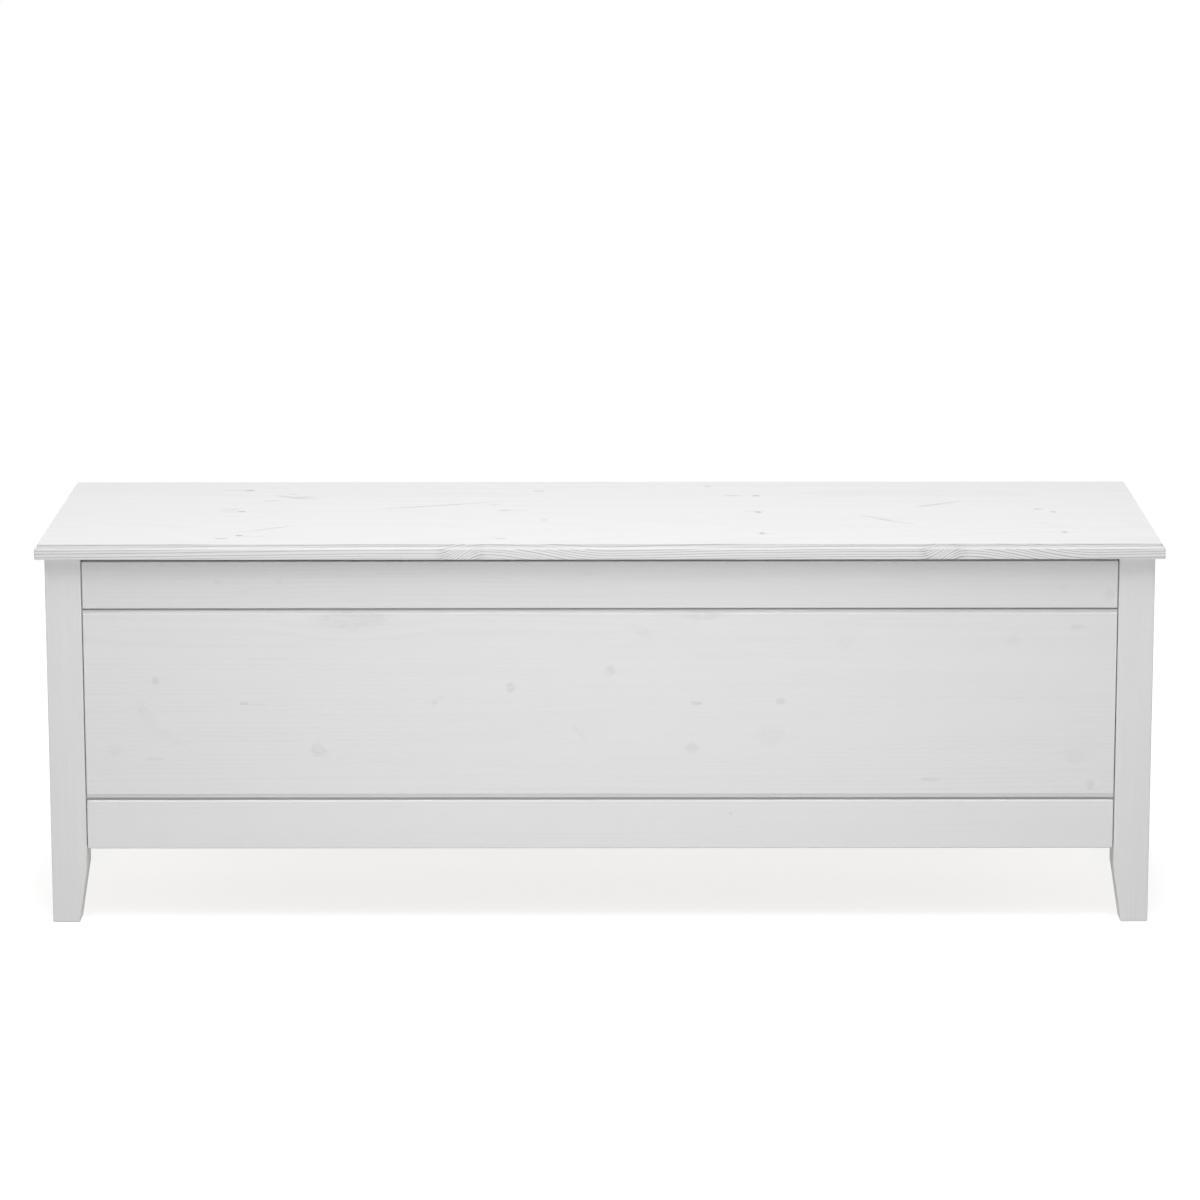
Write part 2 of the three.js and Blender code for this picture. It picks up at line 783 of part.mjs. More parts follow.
function knuckleSpans(parity) {
  const pitch = (hingeLength + knuckleGap) / knuckleCount;
  const indices = Array.from({ length: knuckleCount }, (_, index) => index);
  return indices.filter((index) => index % 2 === parity).map((index) => {
    const low = -hingeLength / 2 + index * pitch;
    return { low, high: low + pitch - knuckleGap };
  });
}

function leafSolid(parity, zLow, zHigh) {
  const edge = -(knuckleRadius + knuckleGap);
  const half = hingeLength / 2;
  const plate = cornerPlate(-half, half, -hingeLeafWidth, edge, zLow, zHigh, hingeCornerRadius);
  const knuckles = knuckleSpans(parity).flatMap(({ low, high }) => [
    solidFrom(rodAlongX(knuckleRadius, low, high, roundSides, onAxis)),
    block(low, high, edge - hingeCornerRadius, 0, zLow, zHigh),
  ]);
  const bore = rodAlongX(pinRadius + fitGap, -hingeLength, hingeLength, roundSides, onAxis);
  return without(joined([plate, ...knuckles]), [solidFrom(bore)]);
}

function pinSolid() {
  const neck = hingeLength / 2 + fitGap;
  const end = neck + pinHeadHeight;
  return solidFrom(turnedAlongX([
    [0, -end],
    [pinHeadRadius, -end],
    [pinHeadRadius, -neck],
    [pinRadius, -neck],
    [pinRadius, neck],
    [pinHeadRadius, neck],
    [pinHeadRadius, end],
    [0, end],
  ], roundSides, onAxis));
}

function addHinges() {
  const caseLeaf = leafSolid(0, -knuckleRadius, -knuckleRadius + hingeLeafThickness);
  const lidLeaf = leafSolid(1, knuckleRadius - hingeLeafThickness, knuckleRadius);
  hingePlaces.forEach((place, index) => {
    const group = placedGroup(place, hingeAxisDepth, hingeAxisHeight, 0);
    const side = sideWords[index];
    addMesh(group, `hinge_case_leaf_${side}`, drilled(caseLeaf, group, hingeCaseScrews), steel());
    addMesh(group, `hinge_lid_leaf_${side}`, drilled(lidLeaf, group, hingeLidScrews), steel());
    addMesh(group, `hinge_pin_${side}`, pinSolid(), steel());
  });
  addScrews([...hingeCaseScrews, ...hingeLidScrews]);
}

// Stays

// A shoulder screw: head, shoulder for the slot, collar against the rail, and shank in the rail
function studSolid(side) {
  const headStart = armInner - armGap;
  const headEnd = headStart - studHeadThickness;
  return solidFrom(turnedAlongX([
    [0, side * headEnd],
    [studHeadRadius, side * headEnd],
    [studHeadRadius, side * headStart],
    [studRadius, side * headStart],
    [studRadius, side * collarInner],
    [studCollarRadius, side * collarInner],
    [studCollarRadius, side * (collarInner + studCollarThickness)],
    [studShankRadius, side * (collarInner + studCollarThickness)],
    [studShankRadius, studShankEnd(side)],
    [0, studShankEnd(side)],
  ], roundSides, [studDepth, studHeight]));
}

function rivetSolid(side) {
  const inner = earInner - fitGap;
  const outer = armOuter + fitGap;
  return solidFrom(turnedAlongX([
    [0, side * (inner - rivetHeadThickness)],
    [rivetHeadRadius, side * (inner - rivetHeadThickness)],
    [rivetHeadRadius, side * inner],
    [rivetRadius, side * inner],
    [rivetRadius, side * outer],
    [rivetHeadRadius, side * outer],
    [rivetHeadRadius, side * (outer + rivetHeadThickness)],
    [0, side * (outer + rivetHeadThickness)],
  ], roundSides, [pivotDepth, pivotHeight]));
}

// A flange under the lid with an ear that hangs down to the pivot
function bracketSolid(side) {
  const [earLow, earHigh] = [side * earInner, side * earOuter].sort((a, b) => a - b);
  const [flangeLow, flangeHigh] = [side * flangeInner, side * earOuter].sort((a, b) => a - b);
  const top = lidUnderside - fitGap;
  const bend = top - bracketThickness;
  const front = pivotDepth - bracketLength / 2;
  const back = pivotDepth + bracketLength / 2;
  const flange = block(flangeLow, flangeHigh, front, back, bend, top);
  const ear = new THREE.Shape();
  ear.moveTo(front, top);
  ear.lineTo(front, bend);
  ear.absarc(pivotDepth, pivotHeight, armWidth / 2, Math.PI, 2 * Math.PI, false);
  ear.lineTo(back, bend);
  ear.lineTo(back, top);
  const hole = rodAlongX(
    rivetRadius + fitGap,
    earLow - cutOverrun,
    earHigh + cutOverrun,
    roundSides,
    [pivotDepth, pivotHeight],
  );
  const bracket = joined([flange, extrudedAlongX(ear, earLow, earHigh)]);
  return drilled(without(bracket, [solidFrom(hole)]), whole, bracketScrews);
}

// The arm hangs from the pivot at zero, and its slot runs from the closed to the open stud place
function armSolid() {
  const slotHalf = studRadius + fitGap;
  const slotTop = -closedReach + fitGap;
  const slotBottom = -openReach - fitGap;
  const half = armWidth / 2;
  const outline = new THREE.Shape();
  outline.absarc(0, 0, half, 0, Math.PI, false);
  outline.absarc(0, slotBottom, half, Math.PI, 2 * Math.PI, false);
  const slot = new THREE.Path();
  slot.absarc(0, slotTop, slotHalf, 0, Math.PI, false);
  slot.absarc(0, slotBottom, slotHalf, Math.PI, 2 * Math.PI, false);
  const eye = new THREE.Path();
  eye.absarc(0, 0, rivetRadius + fitGap, 0, 2 * Math.PI, false);
  outline.holes.push(slot, eye);
  return extrudedAlongX(outline, -armThickness / 2, armThickness / 2);
}

function addStays() {
  for (const [index, side] of [-1, 1].entries()) {
    const word = sideWords[index];
    const armPlace = placedGroup(side * (armInner + armOuter) / 2, pivotDepth, pivotHeight, 0);
    armPlace.rotation.x = armRestAngle;
    addMesh(whole, `stay_bracket_${word}`, bracketSolid(side), steel());
    addMesh(whole, `stay_rivet_${word}`, rivetSolid(side), steel());
    addMesh(whole, `stay_stud_${word}`, studSolid(side), steel());
    addMesh(armPlace, `stay_arm_${word}`, armSolid(), steel());
  }
  addScrews(bracketScrews);
}

addLegs();
addWalls();
addBearer();
addBoards();
addLid();
addBattens();
addHinges();
addStays();

export default chest;
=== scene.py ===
# The looks of a white-glazed pine blanket chest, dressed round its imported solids.
# Metres, +Z up, the front of the chest towards -Y, and the floor at z = 0.

import math

import bmesh
import bpy
from mathutils import Matrix, Vector


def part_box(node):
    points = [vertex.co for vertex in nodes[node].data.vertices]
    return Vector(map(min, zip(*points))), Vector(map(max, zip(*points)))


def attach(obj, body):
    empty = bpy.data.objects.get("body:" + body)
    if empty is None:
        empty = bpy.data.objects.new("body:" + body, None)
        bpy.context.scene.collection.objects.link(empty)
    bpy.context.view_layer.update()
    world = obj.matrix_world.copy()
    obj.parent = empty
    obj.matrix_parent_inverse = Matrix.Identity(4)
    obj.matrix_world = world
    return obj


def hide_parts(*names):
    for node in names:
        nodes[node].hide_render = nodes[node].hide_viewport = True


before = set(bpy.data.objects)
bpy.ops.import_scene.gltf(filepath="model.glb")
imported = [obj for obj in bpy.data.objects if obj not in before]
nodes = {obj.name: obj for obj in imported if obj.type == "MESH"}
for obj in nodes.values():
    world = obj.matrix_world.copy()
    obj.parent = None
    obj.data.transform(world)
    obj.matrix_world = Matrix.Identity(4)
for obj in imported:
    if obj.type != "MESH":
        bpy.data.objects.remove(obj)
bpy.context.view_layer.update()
scene = bpy.context.scene

MM = 0.001

# Camera: fitted to the corners of the lid and feet in the photograph
CAMERA_PLACE = (0.012, -5.815, 1.532)
CAMERA_PITCH_DEGREES = 11.34
CAMERA_YAW_DEGREES = 0.12
CAMERA_ROLL_DEGREES = -0.07
CAMERA_LENS = 139.6
CAMERA_SENSOR = 36.0
CAMERA_NEAREST = 0.05
CAMERA_FARTHEST = 300.0

# Light: an even room, and soft boxes in front, above, behind and beside
ROOM_LIGHT = 0.27
SOFT_BOXES = (
    {"name": "low_box", "place": (0.0, -2.0, 0.45), "size": (0.8, 0.6), "watts": 9.7},
    {"name": "slanting_box", "place": (0.0, -2.2, 3.2), "size": (1.6, 0.8), "watts": 15.0},
    {"name": "high_box", "place": (0.0, -1.0, 3.0), "size": (2.0, 1.1), "watts": 50.0},
    {"name": "back_box", "place": (0.0, 3.2, 1.2), "size": (2.0, 1.2), "watts": 28.0},
    {"name": "left_box", "place": (-3.3, 0.2, 1.2), "size": (1.2, 1.2), "watts": 13.0},
    {"name": "right_box", "place": (3.3, 0.2, 1.2), "size": (1.2, 1.2), "watts": 13.0},
)
SOFT_BOX_AIM = (0.0, -0.2, 0.3)

# Floor: white to the camera, and darker only where the chest shades it
FLOOR_HALF_SIDE = 60.0
FLOOR_COLOUR = 0.45
FLOOR_GLOW = 0.75
FLOOR_NEAR = 1.2
FLOOR_FAR = 3.2
FLOOR_BELOW = 0.2 * MM

# Colours, linear
WHITE = (1.0, 1.0, 1.0)
GLAZE = (0.84, 0.84, 0.838)
GLAZED_WOOD = (0.52, 0.52, 0.515)
GLAZED_KNOT = (0.27, 0.27, 0.265)
BARE_EARLYWOOD = (0.80, 0.66, 0.46)
BARE_LATEWOOD = (0.60, 0.40, 0.22)
BARE_KNOT = (0.30, 0.15, 0.07)
ZINC = (0.66, 0.67, 0.69)
DULL_ZINC = (0.42, 0.43, 0.45)

# The Mix node's sockets for colours: share, first and second, and then the result
MIX_INPUTS = (0, 6, 7)
MIX_RESULT = 2


class Graph:
    """Adds nodes to a node tree. A value is a number, a vector or another node's output."""

    def __init__(self, tree):
        self.tree = tree
        self.tree.nodes.clear()

    def feed(self, socket, value):
        if isinstance(value, bpy.types.NodeSocket):
            self.tree.links.new(value, socket)
        else:
            socket.default_value = value

    def add(self, kind, inputs=(), **settings):
        node = self.tree.nodes.new("ShaderNode" + kind)
        for name, value in settings.items():
            setattr(node, name, value)
        for name, value in dict(inputs).items():
            self.feed(node.inputs[name], value)
        return node

    def math(self, operation, *values):
        node = self.add("Math", operation=operation)
        for socket, value in zip(node.inputs, values):
            self.feed(socket, value)
        return node.outputs[0]

    def times(self, first, second):
        return self.math("MULTIPLY", first, second)

    def fold(self, operation, values):
        """One result from several values, taken in two at a time."""
        result = values[0]
        for value in values[1:]:
            result = self.math(operation, result, value)
        return result

    def total(self, values):
        return self.fold("ADD", values)

    def largest(self, values):
        return self.fold("MAXIMUM", values)

    def smallest(self, values):
        return self.fold("MINIMUM", values)

    def spread(self, share, least, most):
        """Straight from least, where the share is 0, to most, where it is 1."""
        return self.math("MULTIPLY_ADD", share, most - least, least)

    def swing(self, share, amount):
        """From minus half to plus half of the amount, as the share goes from 0 to 1."""
        return self.math("MULTIPLY_ADD", share, amount, -amount / 2)

    def slope(self, value, start, end, low=0.0, high=1.0):
        """Smoothly from low, where the value is at start, to high, where it is at end."""
        inputs = {
            "Value": value, "From Min": start, "From Max": end, "To Min": low, "To Max": high,
        }
        return self.add("MapRange", inputs, interpolation_type="SMOOTHSTEP").outputs["Result"]

    def vector(self, operation, *values):
        node = self.add("VectorMath", operation=operation)
        for socket, value in zip(node.inputs, values):
            self.feed(socket, value)
        return node.outputs["Value" if operation in ("LENGTH", "DOT_PRODUCT") else "Vector"]

    def separate(self, vector):
        node = self.add("SeparateXYZ", {"Vector": vector})
        return node.outputs["X"], node.outputs["Y"], node.outputs["Z"]

    def combine(self, x, y, z):
        return self.add("CombineXYZ", {"X": x, "Y": y, "Z": z}).outputs["Vector"]

    def stretched(self, place, rates):
        """A vector of the place's three parts, each times its rate per metre."""
        return self.vector("MULTIPLY", self.combine(*place), rates)

    def noise_node(self, vector, detail):
        inputs = {"Vector": vector, "Scale": 1.0, "Detail": detail}
        return self.add("TexNoise", inputs, noise_dimensions="3D")

    def noise(self, vector, detail=0.0):
        return self.noise_node(vector, detail).outputs[0]

    def noise_colour(self, vector, detail=0.0):
        return self.noise_node(vector, detail).outputs["Color"]

    def blend(self, share, first, second):
        node = self.add("Mix", data_type="RGBA")
        for index, value in zip(MIX_INPUTS, (share, first, second)):
            self.feed(node.inputs[index], value)
        return node.outputs[MIX_RESULT]

    def bump(self, height):
        inputs = {"Strength": 1.0, "Distance": 1.0, "Height": height}
        return self.add("Bump", inputs).outputs["Normal"]


def colour(rgb):
    return (*rgb, 1.0)


# Knots at places of their own

def knot(along, across, length, width, turn=0.0, dark=0.5):
    """A knot or streak, in mm from the middle of the board's wide face, turned by degrees."""
    turn = math.radians(turn)
    half_length = length / 2 * MM
    half_width = width / 2 * MM
    return {
        "place": Vector((along * MM, across * MM, 0.0)),
        "long_axis": Vector((math.cos(turn), math.sin(turn), 0.0)) / half_length,
        "short_axis": Vector((-math.sin(turn), math.cos(turn), 0.0)) / half_width,
        "half_width": half_width,
        "dark": dark,
    }


FRONT_PANEL_KNOTS = (
    knot(-548, 30, 8, 10, dark=0.65),
    knot(-536, 32, 24, 5, 8, dark=0.15),
    knot(-439, 2, 10, 4, dark=0.75),
    knot(-424, 0, 26, 2, dark=0.35),
    knot(-348, -57, 19, 13, -20, dark=0.5),
    knot(-204, 3, 6, 6, dark=0.5),
    knot(-198, 9, 14, 5, 35, dark=0.2),
    knot(-551, -68, 19, 4, dark=0.45),
    knot(-600, -58, 12, 11, dark=0.2),
    knot(-560, -14, 36, 13, -62, dark=0.17),
    knot(-533, -40, 34, 11, -30, dark=0.15),
    knot(-306, 108, 76, 20, dark=0.42),
    knot(-110, 22, 10, 11, dark=0.6),
    knot(13, 43, 11, 11, dark=0.45),
    knot(119, 2, 12, 4, dark=0.8),
    knot(223, 4, 10, 7, dark=0.6),
    knot(114, -55, 15, 11, dark=0.5),
    knot(212, -39, 28, 20, dark=0.2),
    knot(-25, -36, 22, 5, -45, dark=0.2),
    knot(50, 93, 22, 11, -30, dark=0.2),
    knot(128, 113, 50, 11, dark=0.35),
    knot(303, 80, 18, 15, dark=0.18),
    knot(509, 81, 15, 12, dark=0.22),
    knot(589, 98, 18, 5, dark=0.5),
    knot(606, -102, 11, 11, dark=0.45),
    knot(408, -95, 19, 4, dark=0.5),
    knot(588, -67, 26, 15, dark=0.2),
)

FRONT_TOP_RAIL_KNOTS = (
    knot(-470, 4, 6, 5, dark=0.6),
    knot(-438, -8, 9, 3, dark=0.5),
    knot(-394, 5, 9, 7, dark=0.5),
    knot(-18, 17, 20, 9, dark=0.3),
    knot(570, -3, 14, 6, dark=0.25),
    knot(625, -14, 12, 13, dark=0.65),
)

FRONT_BOTTOM_RAIL_KNOTS = (
    knot(162, 14, 5, 5, dark=0.8),
)

LID_KNOTS = (
    knot(-456, 159, 11, 9, dark=0.85),
    knot(-474, 158, 36, 6, dark=0.3),
    knot(-384, 104, 26, 18, 4, dark=0.36),
    knot(-399, 107, 42, 5, -32, dark=0.75),
    knot(-372, 93, 24, 4, -12, dark=0.35),
    knot(-398, 132, 14, 5, -45, dark=0.3),
    knot(-423, 81, 18, 7, dark=0.5),
    knot(-470, 18, 22, 6, 20, dark=0.45),
    knot(-455, 4, 9, 8, dark=0.85),
    knot(-468, 2, 22, 5, dark=0.3),
    knot(-466, -183, 16, 7, dark=0.7),
    knot(-446, -163, 8, 8, dark=1.0),
    knot(-428, -168, 34, 4, -8, dark=0.35),
    knot(-411, -116, 54, 6, 36, dark=0.5),
    knot(-208, 46, 134, 5, 19, dark=0.6),
    knot(-228, 38, 50, 6, 19, dark=0.3),
    knot(-80, 152, 13, 9, dark=0.5),
    knot(-121, 11, 15, 8, dark=0.55),
    knot(-104, 8, 30, 5, dark=0.25),
    knot(-135, 53, 13, 7, dark=0.35),
    knot(-70, -57, 8, 8, dark=0.5),
    knot(-122, -183, 14, 8, dark=0.5),
    knot(140, 188, 9, 9, dark=0.4),
    knot(171, 116, 22, 7, dark=0.45),
    knot(201, 116, 9, 9, dark=0.9),
    knot(201, -3, 7, 9, dark=1.1),
    knot(194, 4, 26, 6, dark=0.25),
    knot(201, -150, 6, 9, dark=1.0),
    knot(208, -155, 22, 6, dark=0.25),
    knot(349, -44, 48, 5, -44, dark=0.45),
    knot(371, -70, 52, 5, -38, dark=0.5),
    knot(432, 53, 64, 6, 34, dark=0.6),
    knot(557, 18, 10, 8, dark=0.7),
    knot(575, -3, 7, 8, dark=0.9),
    knot(576, -144, 6, 8, dark=1.0),
)

# Each cut of wood says how its boards lie in the tree, and how plainly that shows.
# axes: along the grain, across it on the wide face, and through the board.
# strip: width of the glued strips. aside, deep: from a strip's middle to the heart of the tree.
# spacing: of the growth rings. late: where in a ring its dark part starts and is full.
# shown: how plainly the rings show on the wide face, the edges and the ends.
# patchy: how plainly they show in the faintest patches and in the plainest.
# knots: how dark under the glaze. marks: knots at places of their own, on the board that is named.
# scatter: without marks, knots per metre along and across, before some are left out.
# edge_knots: where the front edge cuts through knots, and half the length of each.
# grime and painted shade: where each goes. darkening all over: how far the colour goes from the glaze
# towards the wood, all over the board.

LATEWOOD_START = (0.35, 0.8)
PATCHY_RINGS = (0.35, 1.0)

# Panels: grime and painted shade at the joints with the legs, and painted shade in the hollows along
# the rails
PANEL = {"strip": 87.5 * MM, "spacing": 3.8 * MM, "grime_and_shade": ("legs", "rails")}
HIDDEN_PANEL = {
    **PANEL, "aside": 60 * MM, "deep": 50 * MM, "shown": (0.14, 0.2, 0.3),
    "knots": 0.36, "scatter": (6.0, 9.0),
}
# Rails: grime and painted shade at the joints with the legs, and a painted shadow in a band just under
# the lid; the front bottom rail lists only the joints
RAIL = {
    "strip": 310 * MM, "aside": 200 * MM, "deep": 40 * MM, "spacing": 3 * MM, "knots": 0.14,
    "grime_and_shade": ("legs", "lid_shadow"),
}
FRONT_RAIL = {**RAIL, "axes": "xzy", "shown": (0.05, 0.12, 0.3)}
HIDDEN_RAIL = {**RAIL, "shown": (0.07, 0.12, 0.3), "scatter": (4.0, 12.0)}
BARE_SHOWN = (1.0, 0.8, 1.0)

CUTS = {
    "lid": {
        "axes": "xyz", "strip": 112.5 * MM, "aside": 75 * MM, "deep": 80 * MM, "spacing": 3.3 * MM,
        "late": (0.6, 0.85), "shown": (0.06, 1.55, 0.6), "patchy": (0.6, 0.8),
        "knots": 0.7, "marks": LID_KNOTS, "board": "lid_panel",
        "edge_knots": ((-170 * MM, 27 * MM), (419.5 * MM, 27 * MM)),
        # Painted shade in the step and the hollow round the lid's edge
        "grime_and_shade": ("step",),
    },
    "front_panel": {
        **PANEL, "axes": "xzy", "aside": 130 * MM, "deep": 30 * MM, "shown": (0.06, 0.2, 0.3),
        "knots": 0.28, "marks": FRONT_PANEL_KNOTS, "board": "front_panel",
    },
    "long_panel": {**HIDDEN_PANEL, "axes": "xzy"},
    "end_panel": {**HIDDEN_PANEL, "axes": "yzx"},
    "front_top_rail": {
        # Darker all over as well: painted shade, for the lid's shadow on this rail
        **FRONT_RAIL, "marks": FRONT_TOP_RAIL_KNOTS, "board": "front_top_rail", "thin": 0.08,
    },
    "front_bottom_rail": {
        **FRONT_RAIL, "marks": FRONT_BOTTOM_RAIL_KNOTS, "board": "front_bottom_rail",
        "grime_and_shade": ("legs",),
    },
    "long_rail": {**HIDDEN_RAIL, "axes": "xzy"},
    "end_rail": {**HIDDEN_RAIL, "axes": "yzx"},
    "leg": {
        "axes": "zxy", "strip": 900 * MM, "aside": 60 * MM, "deep": 50 * MM, "spacing": 2.6 * MM,
        "shown": (0.07, 0.07, 0.3), "knots": 0.14, "scatter": (4.0, 14.0), "thin": 0.07,
    },
    "batten": {
        "axes": "yxz", "strip": 290 * MM, "aside": 50 * MM, "deep": 50 * MM, "spacing": 3 * MM,
        "shown": (0.14, 0.14, 0.3), "knots": 0.3, "scatter": (5.0, 12.0),
    },
    "bare_long": {
        "axes": "xyz", "strip": 96.1 * MM, "aside": 30 * MM, "deep": 60 * MM, "spacing": 3.4 * MM,
        "shown": BARE_SHOWN, "scatter": (4.0, 9.0),
    },
    "bare_cross": {
        "axes": "yxz", "strip": 210 * MM, "aside": 40 * MM, "deep": 50 * MM, "spacing": 3 * MM,
        "shown": BARE_SHOWN, "scatter": (5.0, 12.0),
    },
}

NODE_CUTS = {
    "lid_panel": "lid",
    "lid_batten": "batten",
    "leg": "leg",
    "front_panel": "front_panel",
    "back_panel": "long_panel",
    "front_top_rail": "front_top_rail",
    "front_bottom_rail": "front_bottom_rail",
    "back_top_rail": "long_rail",
    "back_bottom_rail": "long_rail",
    "left_panel": "end_panel",
    "right_panel": "end_panel",
    "left_top_rail": "end_rail",
    "left_bottom_rail": "end_rail",
    "right_top_rail": "end_rail",
    "right_bottom_rail": "end_rail",
    "front_cleat": "bare_long",
    "back_cleat": "bare_long",
    "bottom_board": "bare_long",
    "left_cleat": "bare_cross",
    "right_cleat": "bare_cross",
    "bottom_bearer": "bare_cross",
}

# Noise in cells per metre: along the grain, across it, and through the board
WANDER_RATES = (1.4, 6.0, 6.0)
RIPPLE_RATES = (8.0, 40.0, 40.0)
BAND_RATES = (2.0, 60.0, 60.0)
BRUSH_RATES = (5.0, 260.0, 260.0)
FIBRE_RATES = (22.0, 900.0, 900.0)
CANAL_RATES = (55.0, 1300.0, 1300.0)
KNOT_RAGGED_RATES = (150.0, 260.0, 0.0)
KNOT_STREAK_RATES = (90.0, 300.0, 300.0)
EDGE_KNOT_SPECKLE_RATES = (150.0, 150.0, 420.0)


def board_place(graph, axes):
    """How far along the grain, across it and through the board."""
    spot = graph.add("TexCoord").outputs["Object"]
    parts = dict(zip("xyz", graph.separate(spot)))
    return [parts[axis] for axis in axes]


def board_facing(graph, axes):
    """How far the surface faces along the grain, across it, and through the board, from 0 to 1."""
    normal = graph.add("TexCoord").outputs["Normal"]
    parts = dict(zip("xyz", graph.separate(graph.vector("ABSOLUTE", normal))))
    return [parts[axis] for axis in axes]


# A knot's reach is the squared distance from its middle, and its outline is at 1.
# Body, heart and push: where each starts and where it is full.
KNOT_BODY = (2.2, 0.25)
KNOT_HEART = (0.4, 0.02)
KNOT_PUSH = (12.0, 0.7)
KNOT_HEART_LIGHTER = 0.2
KNOT_RAGGED = 1.8
KNOT_STREAKS = (0.3, 0.6, 0.45, 1.0)


def knot_shade(graph, reach, dark):
    """Darkest at its rim."""
    body = graph.slope(reach, *KNOT_BODY, 0.0, dark)
    heart = graph.slope(reach, *KNOT_HEART, 0.0, KNOT_HEART_LIGHTER * dark)
    return graph.math("SUBTRACT", body, heart)


def ragged_outline(graph, place):
    return graph.swing(graph.noise(graph.stretched(place, KNOT_RAGGED_RATES), detail=2.0), KNOT_RAGGED)


def wide_face_middle(cut):
    low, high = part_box(cut["board"])
    along, across, _ = [(getattr(low, axis) + getattr(high, axis)) / 2 for axis in cut["axes"]]
    return Vector((along, across, 0.0))


def marked_knots(graph, place, cut):
    """(how far the rings are pushed across, how dark) for knots at places of their own."""
    along, across, _ = place
    flat = graph.combine(along, across, 0.0)
    ragged = ragged_outline(graph, place)
    middle = wide_face_middle(cut)
    push = 0.0
    dark = 0.0
    for spot in cut["marks"]:
        offset = graph.vector("SUBTRACT", flat, middle + spot["place"])
        lengthways = graph.vector("DOT_PRODUCT", offset, spot["long_axis"])
        sideways = graph.vector("DOT_PRODUCT", offset, spot["short_axis"])
        reach = graph.times(lengthways, lengthways)
        reach = graph.math("MULTIPLY_ADD", sideways, sideways, reach)
        near = graph.slope(reach, *KNOT_PUSH, 0.0, -spot["half_width"])
        push = graph.math("MULTIPLY_ADD", sideways, near, push)
        shade = knot_shade(graph, graph.math("ADD", reach, ragged), spot["dark"])
        dark = graph.math("MAXIMUM", dark, shade)
    return push, dark


# Scattered knots: the draws that leave a cell without one and with one, its radius, and its shade
SCATTER_DRAW = (0.42, 0.44)
SCATTER_RADIUS = (0.02, 0.09)
SCATTER_SHADE = (0.3, 1.0)


def scattered_knots(graph, place, cut):
    """(how far the rings are pushed across, how dark) for knots scattered at so many per metre."""
    _, across, _ = place
    along_rate, across_rate = cut["scatter"]
    rates = (along_rate, across_rate, 0.0)
    inputs = {"Vector": graph.stretched(place, rates), "Scale": 1.0, "Randomness": 1.0}
    cell = graph.add("TexVoronoi", inputs, voronoi_dimensions="2D", feature="F1")
    draw, size, strength = graph.separate(cell.outputs["Color"])
    there = graph.slope(draw, *SCATTER_DRAW)
    reach = graph.math("DIVIDE", cell.outputs["Distance"], graph.spread(size, *SCATTER_RADIUS))
    reach = graph.times(reach, reach)
    middle = graph.separate(cell.outputs["Position"])[1]
    away = graph.math("SUBTRACT", across, graph.math("DIVIDE", middle, across_rate))
    near = graph.times(graph.slope(reach, *KNOT_PUSH, 0.0, -1.0), there)
    reach = graph.math("ADD", reach, ragged_outline(graph, place))
    dark = graph.times(knot_shade(graph, reach, 1.0), there)
    dark = graph.times(dark, graph.spread(strength, *SCATTER_SHADE))
    return graph.times(away, near), dark


# Knots cut through by the lid's front edge: how far in, how far the rings sink past one, how long
# they take to come back, and the rim, in half lengths from the middle, inside and outside
EDGE_KNOT_DEPTH = 7 * MM
EDGE_KNOT_SINK = -24 * MM
EDGE_KNOT_TAIL = 160 * MM
EDGE_KNOT_INNER_SHARES = (0.3, 0.75)
EDGE_KNOT_OUTER_SHARES = (1.25, 0.85)
EDGE_KNOT_SPECKLE = (0.35, 0.6, 0.15, 0.9)
EDGE_KNOT_BETWEEN_RINGS = 0.2


def edge_knots(graph, place, knots):
    """(how far the rings sink, how dark) at the knots that the lid's front edge cuts through."""
    along, across, _ = place
    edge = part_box("lid_panel")[0].y
    front = graph.slope(across, edge + EDGE_KNOT_DEPTH, edge)
    speckle = graph.noise(graph.stretched(place, EDGE_KNOT_SPECKLE_RATES), detail=2.0)
    sink = 0.0
    dark = 0.0
    for middle, half in knots:
        offset = graph.math("SUBTRACT", along, middle)
        rise = graph.slope(offset, -half, half)
        fall = graph.slope(offset, half + EDGE_KNOT_TAIL, half)
        sink = graph.math("MULTIPLY_ADD", rise, fall, sink)
        distance = graph.math("ABSOLUTE", offset)
        inner = graph.slope(distance, *(share * half for share in EDGE_KNOT_INNER_SHARES))
        outer = graph.slope(distance, *(share * half for share in EDGE_KNOT_OUTER_SHARES))
        dark = graph.math("MAXIMUM", dark, graph.times(inner, outer))
    sink = graph.times(graph.times(sink, front), EDGE_KNOT_SINK)
    dark = graph.times(graph.times(dark, front), graph.slope(speckle, *EDGE_KNOT_SPECKLE))
    return sink, dark


# Growth rings: how they stray from true circles, and how far a strip's heart is, at least and
# at most, as shares of the cut's own distance
RING_WANDER = 12 * MM
RING_RIPPLE = 1.2 * MM
HEART_TILT = 0.03
HEART_ASIDE_SHARES = (0.6, 1.4)
HEART_DEEP_SHARES = (0.7, 1.3)
YEAR_RATE = 0.35
YEAR_SWING = 1.6
LATEWOOD_END = (1.0, 0.92)


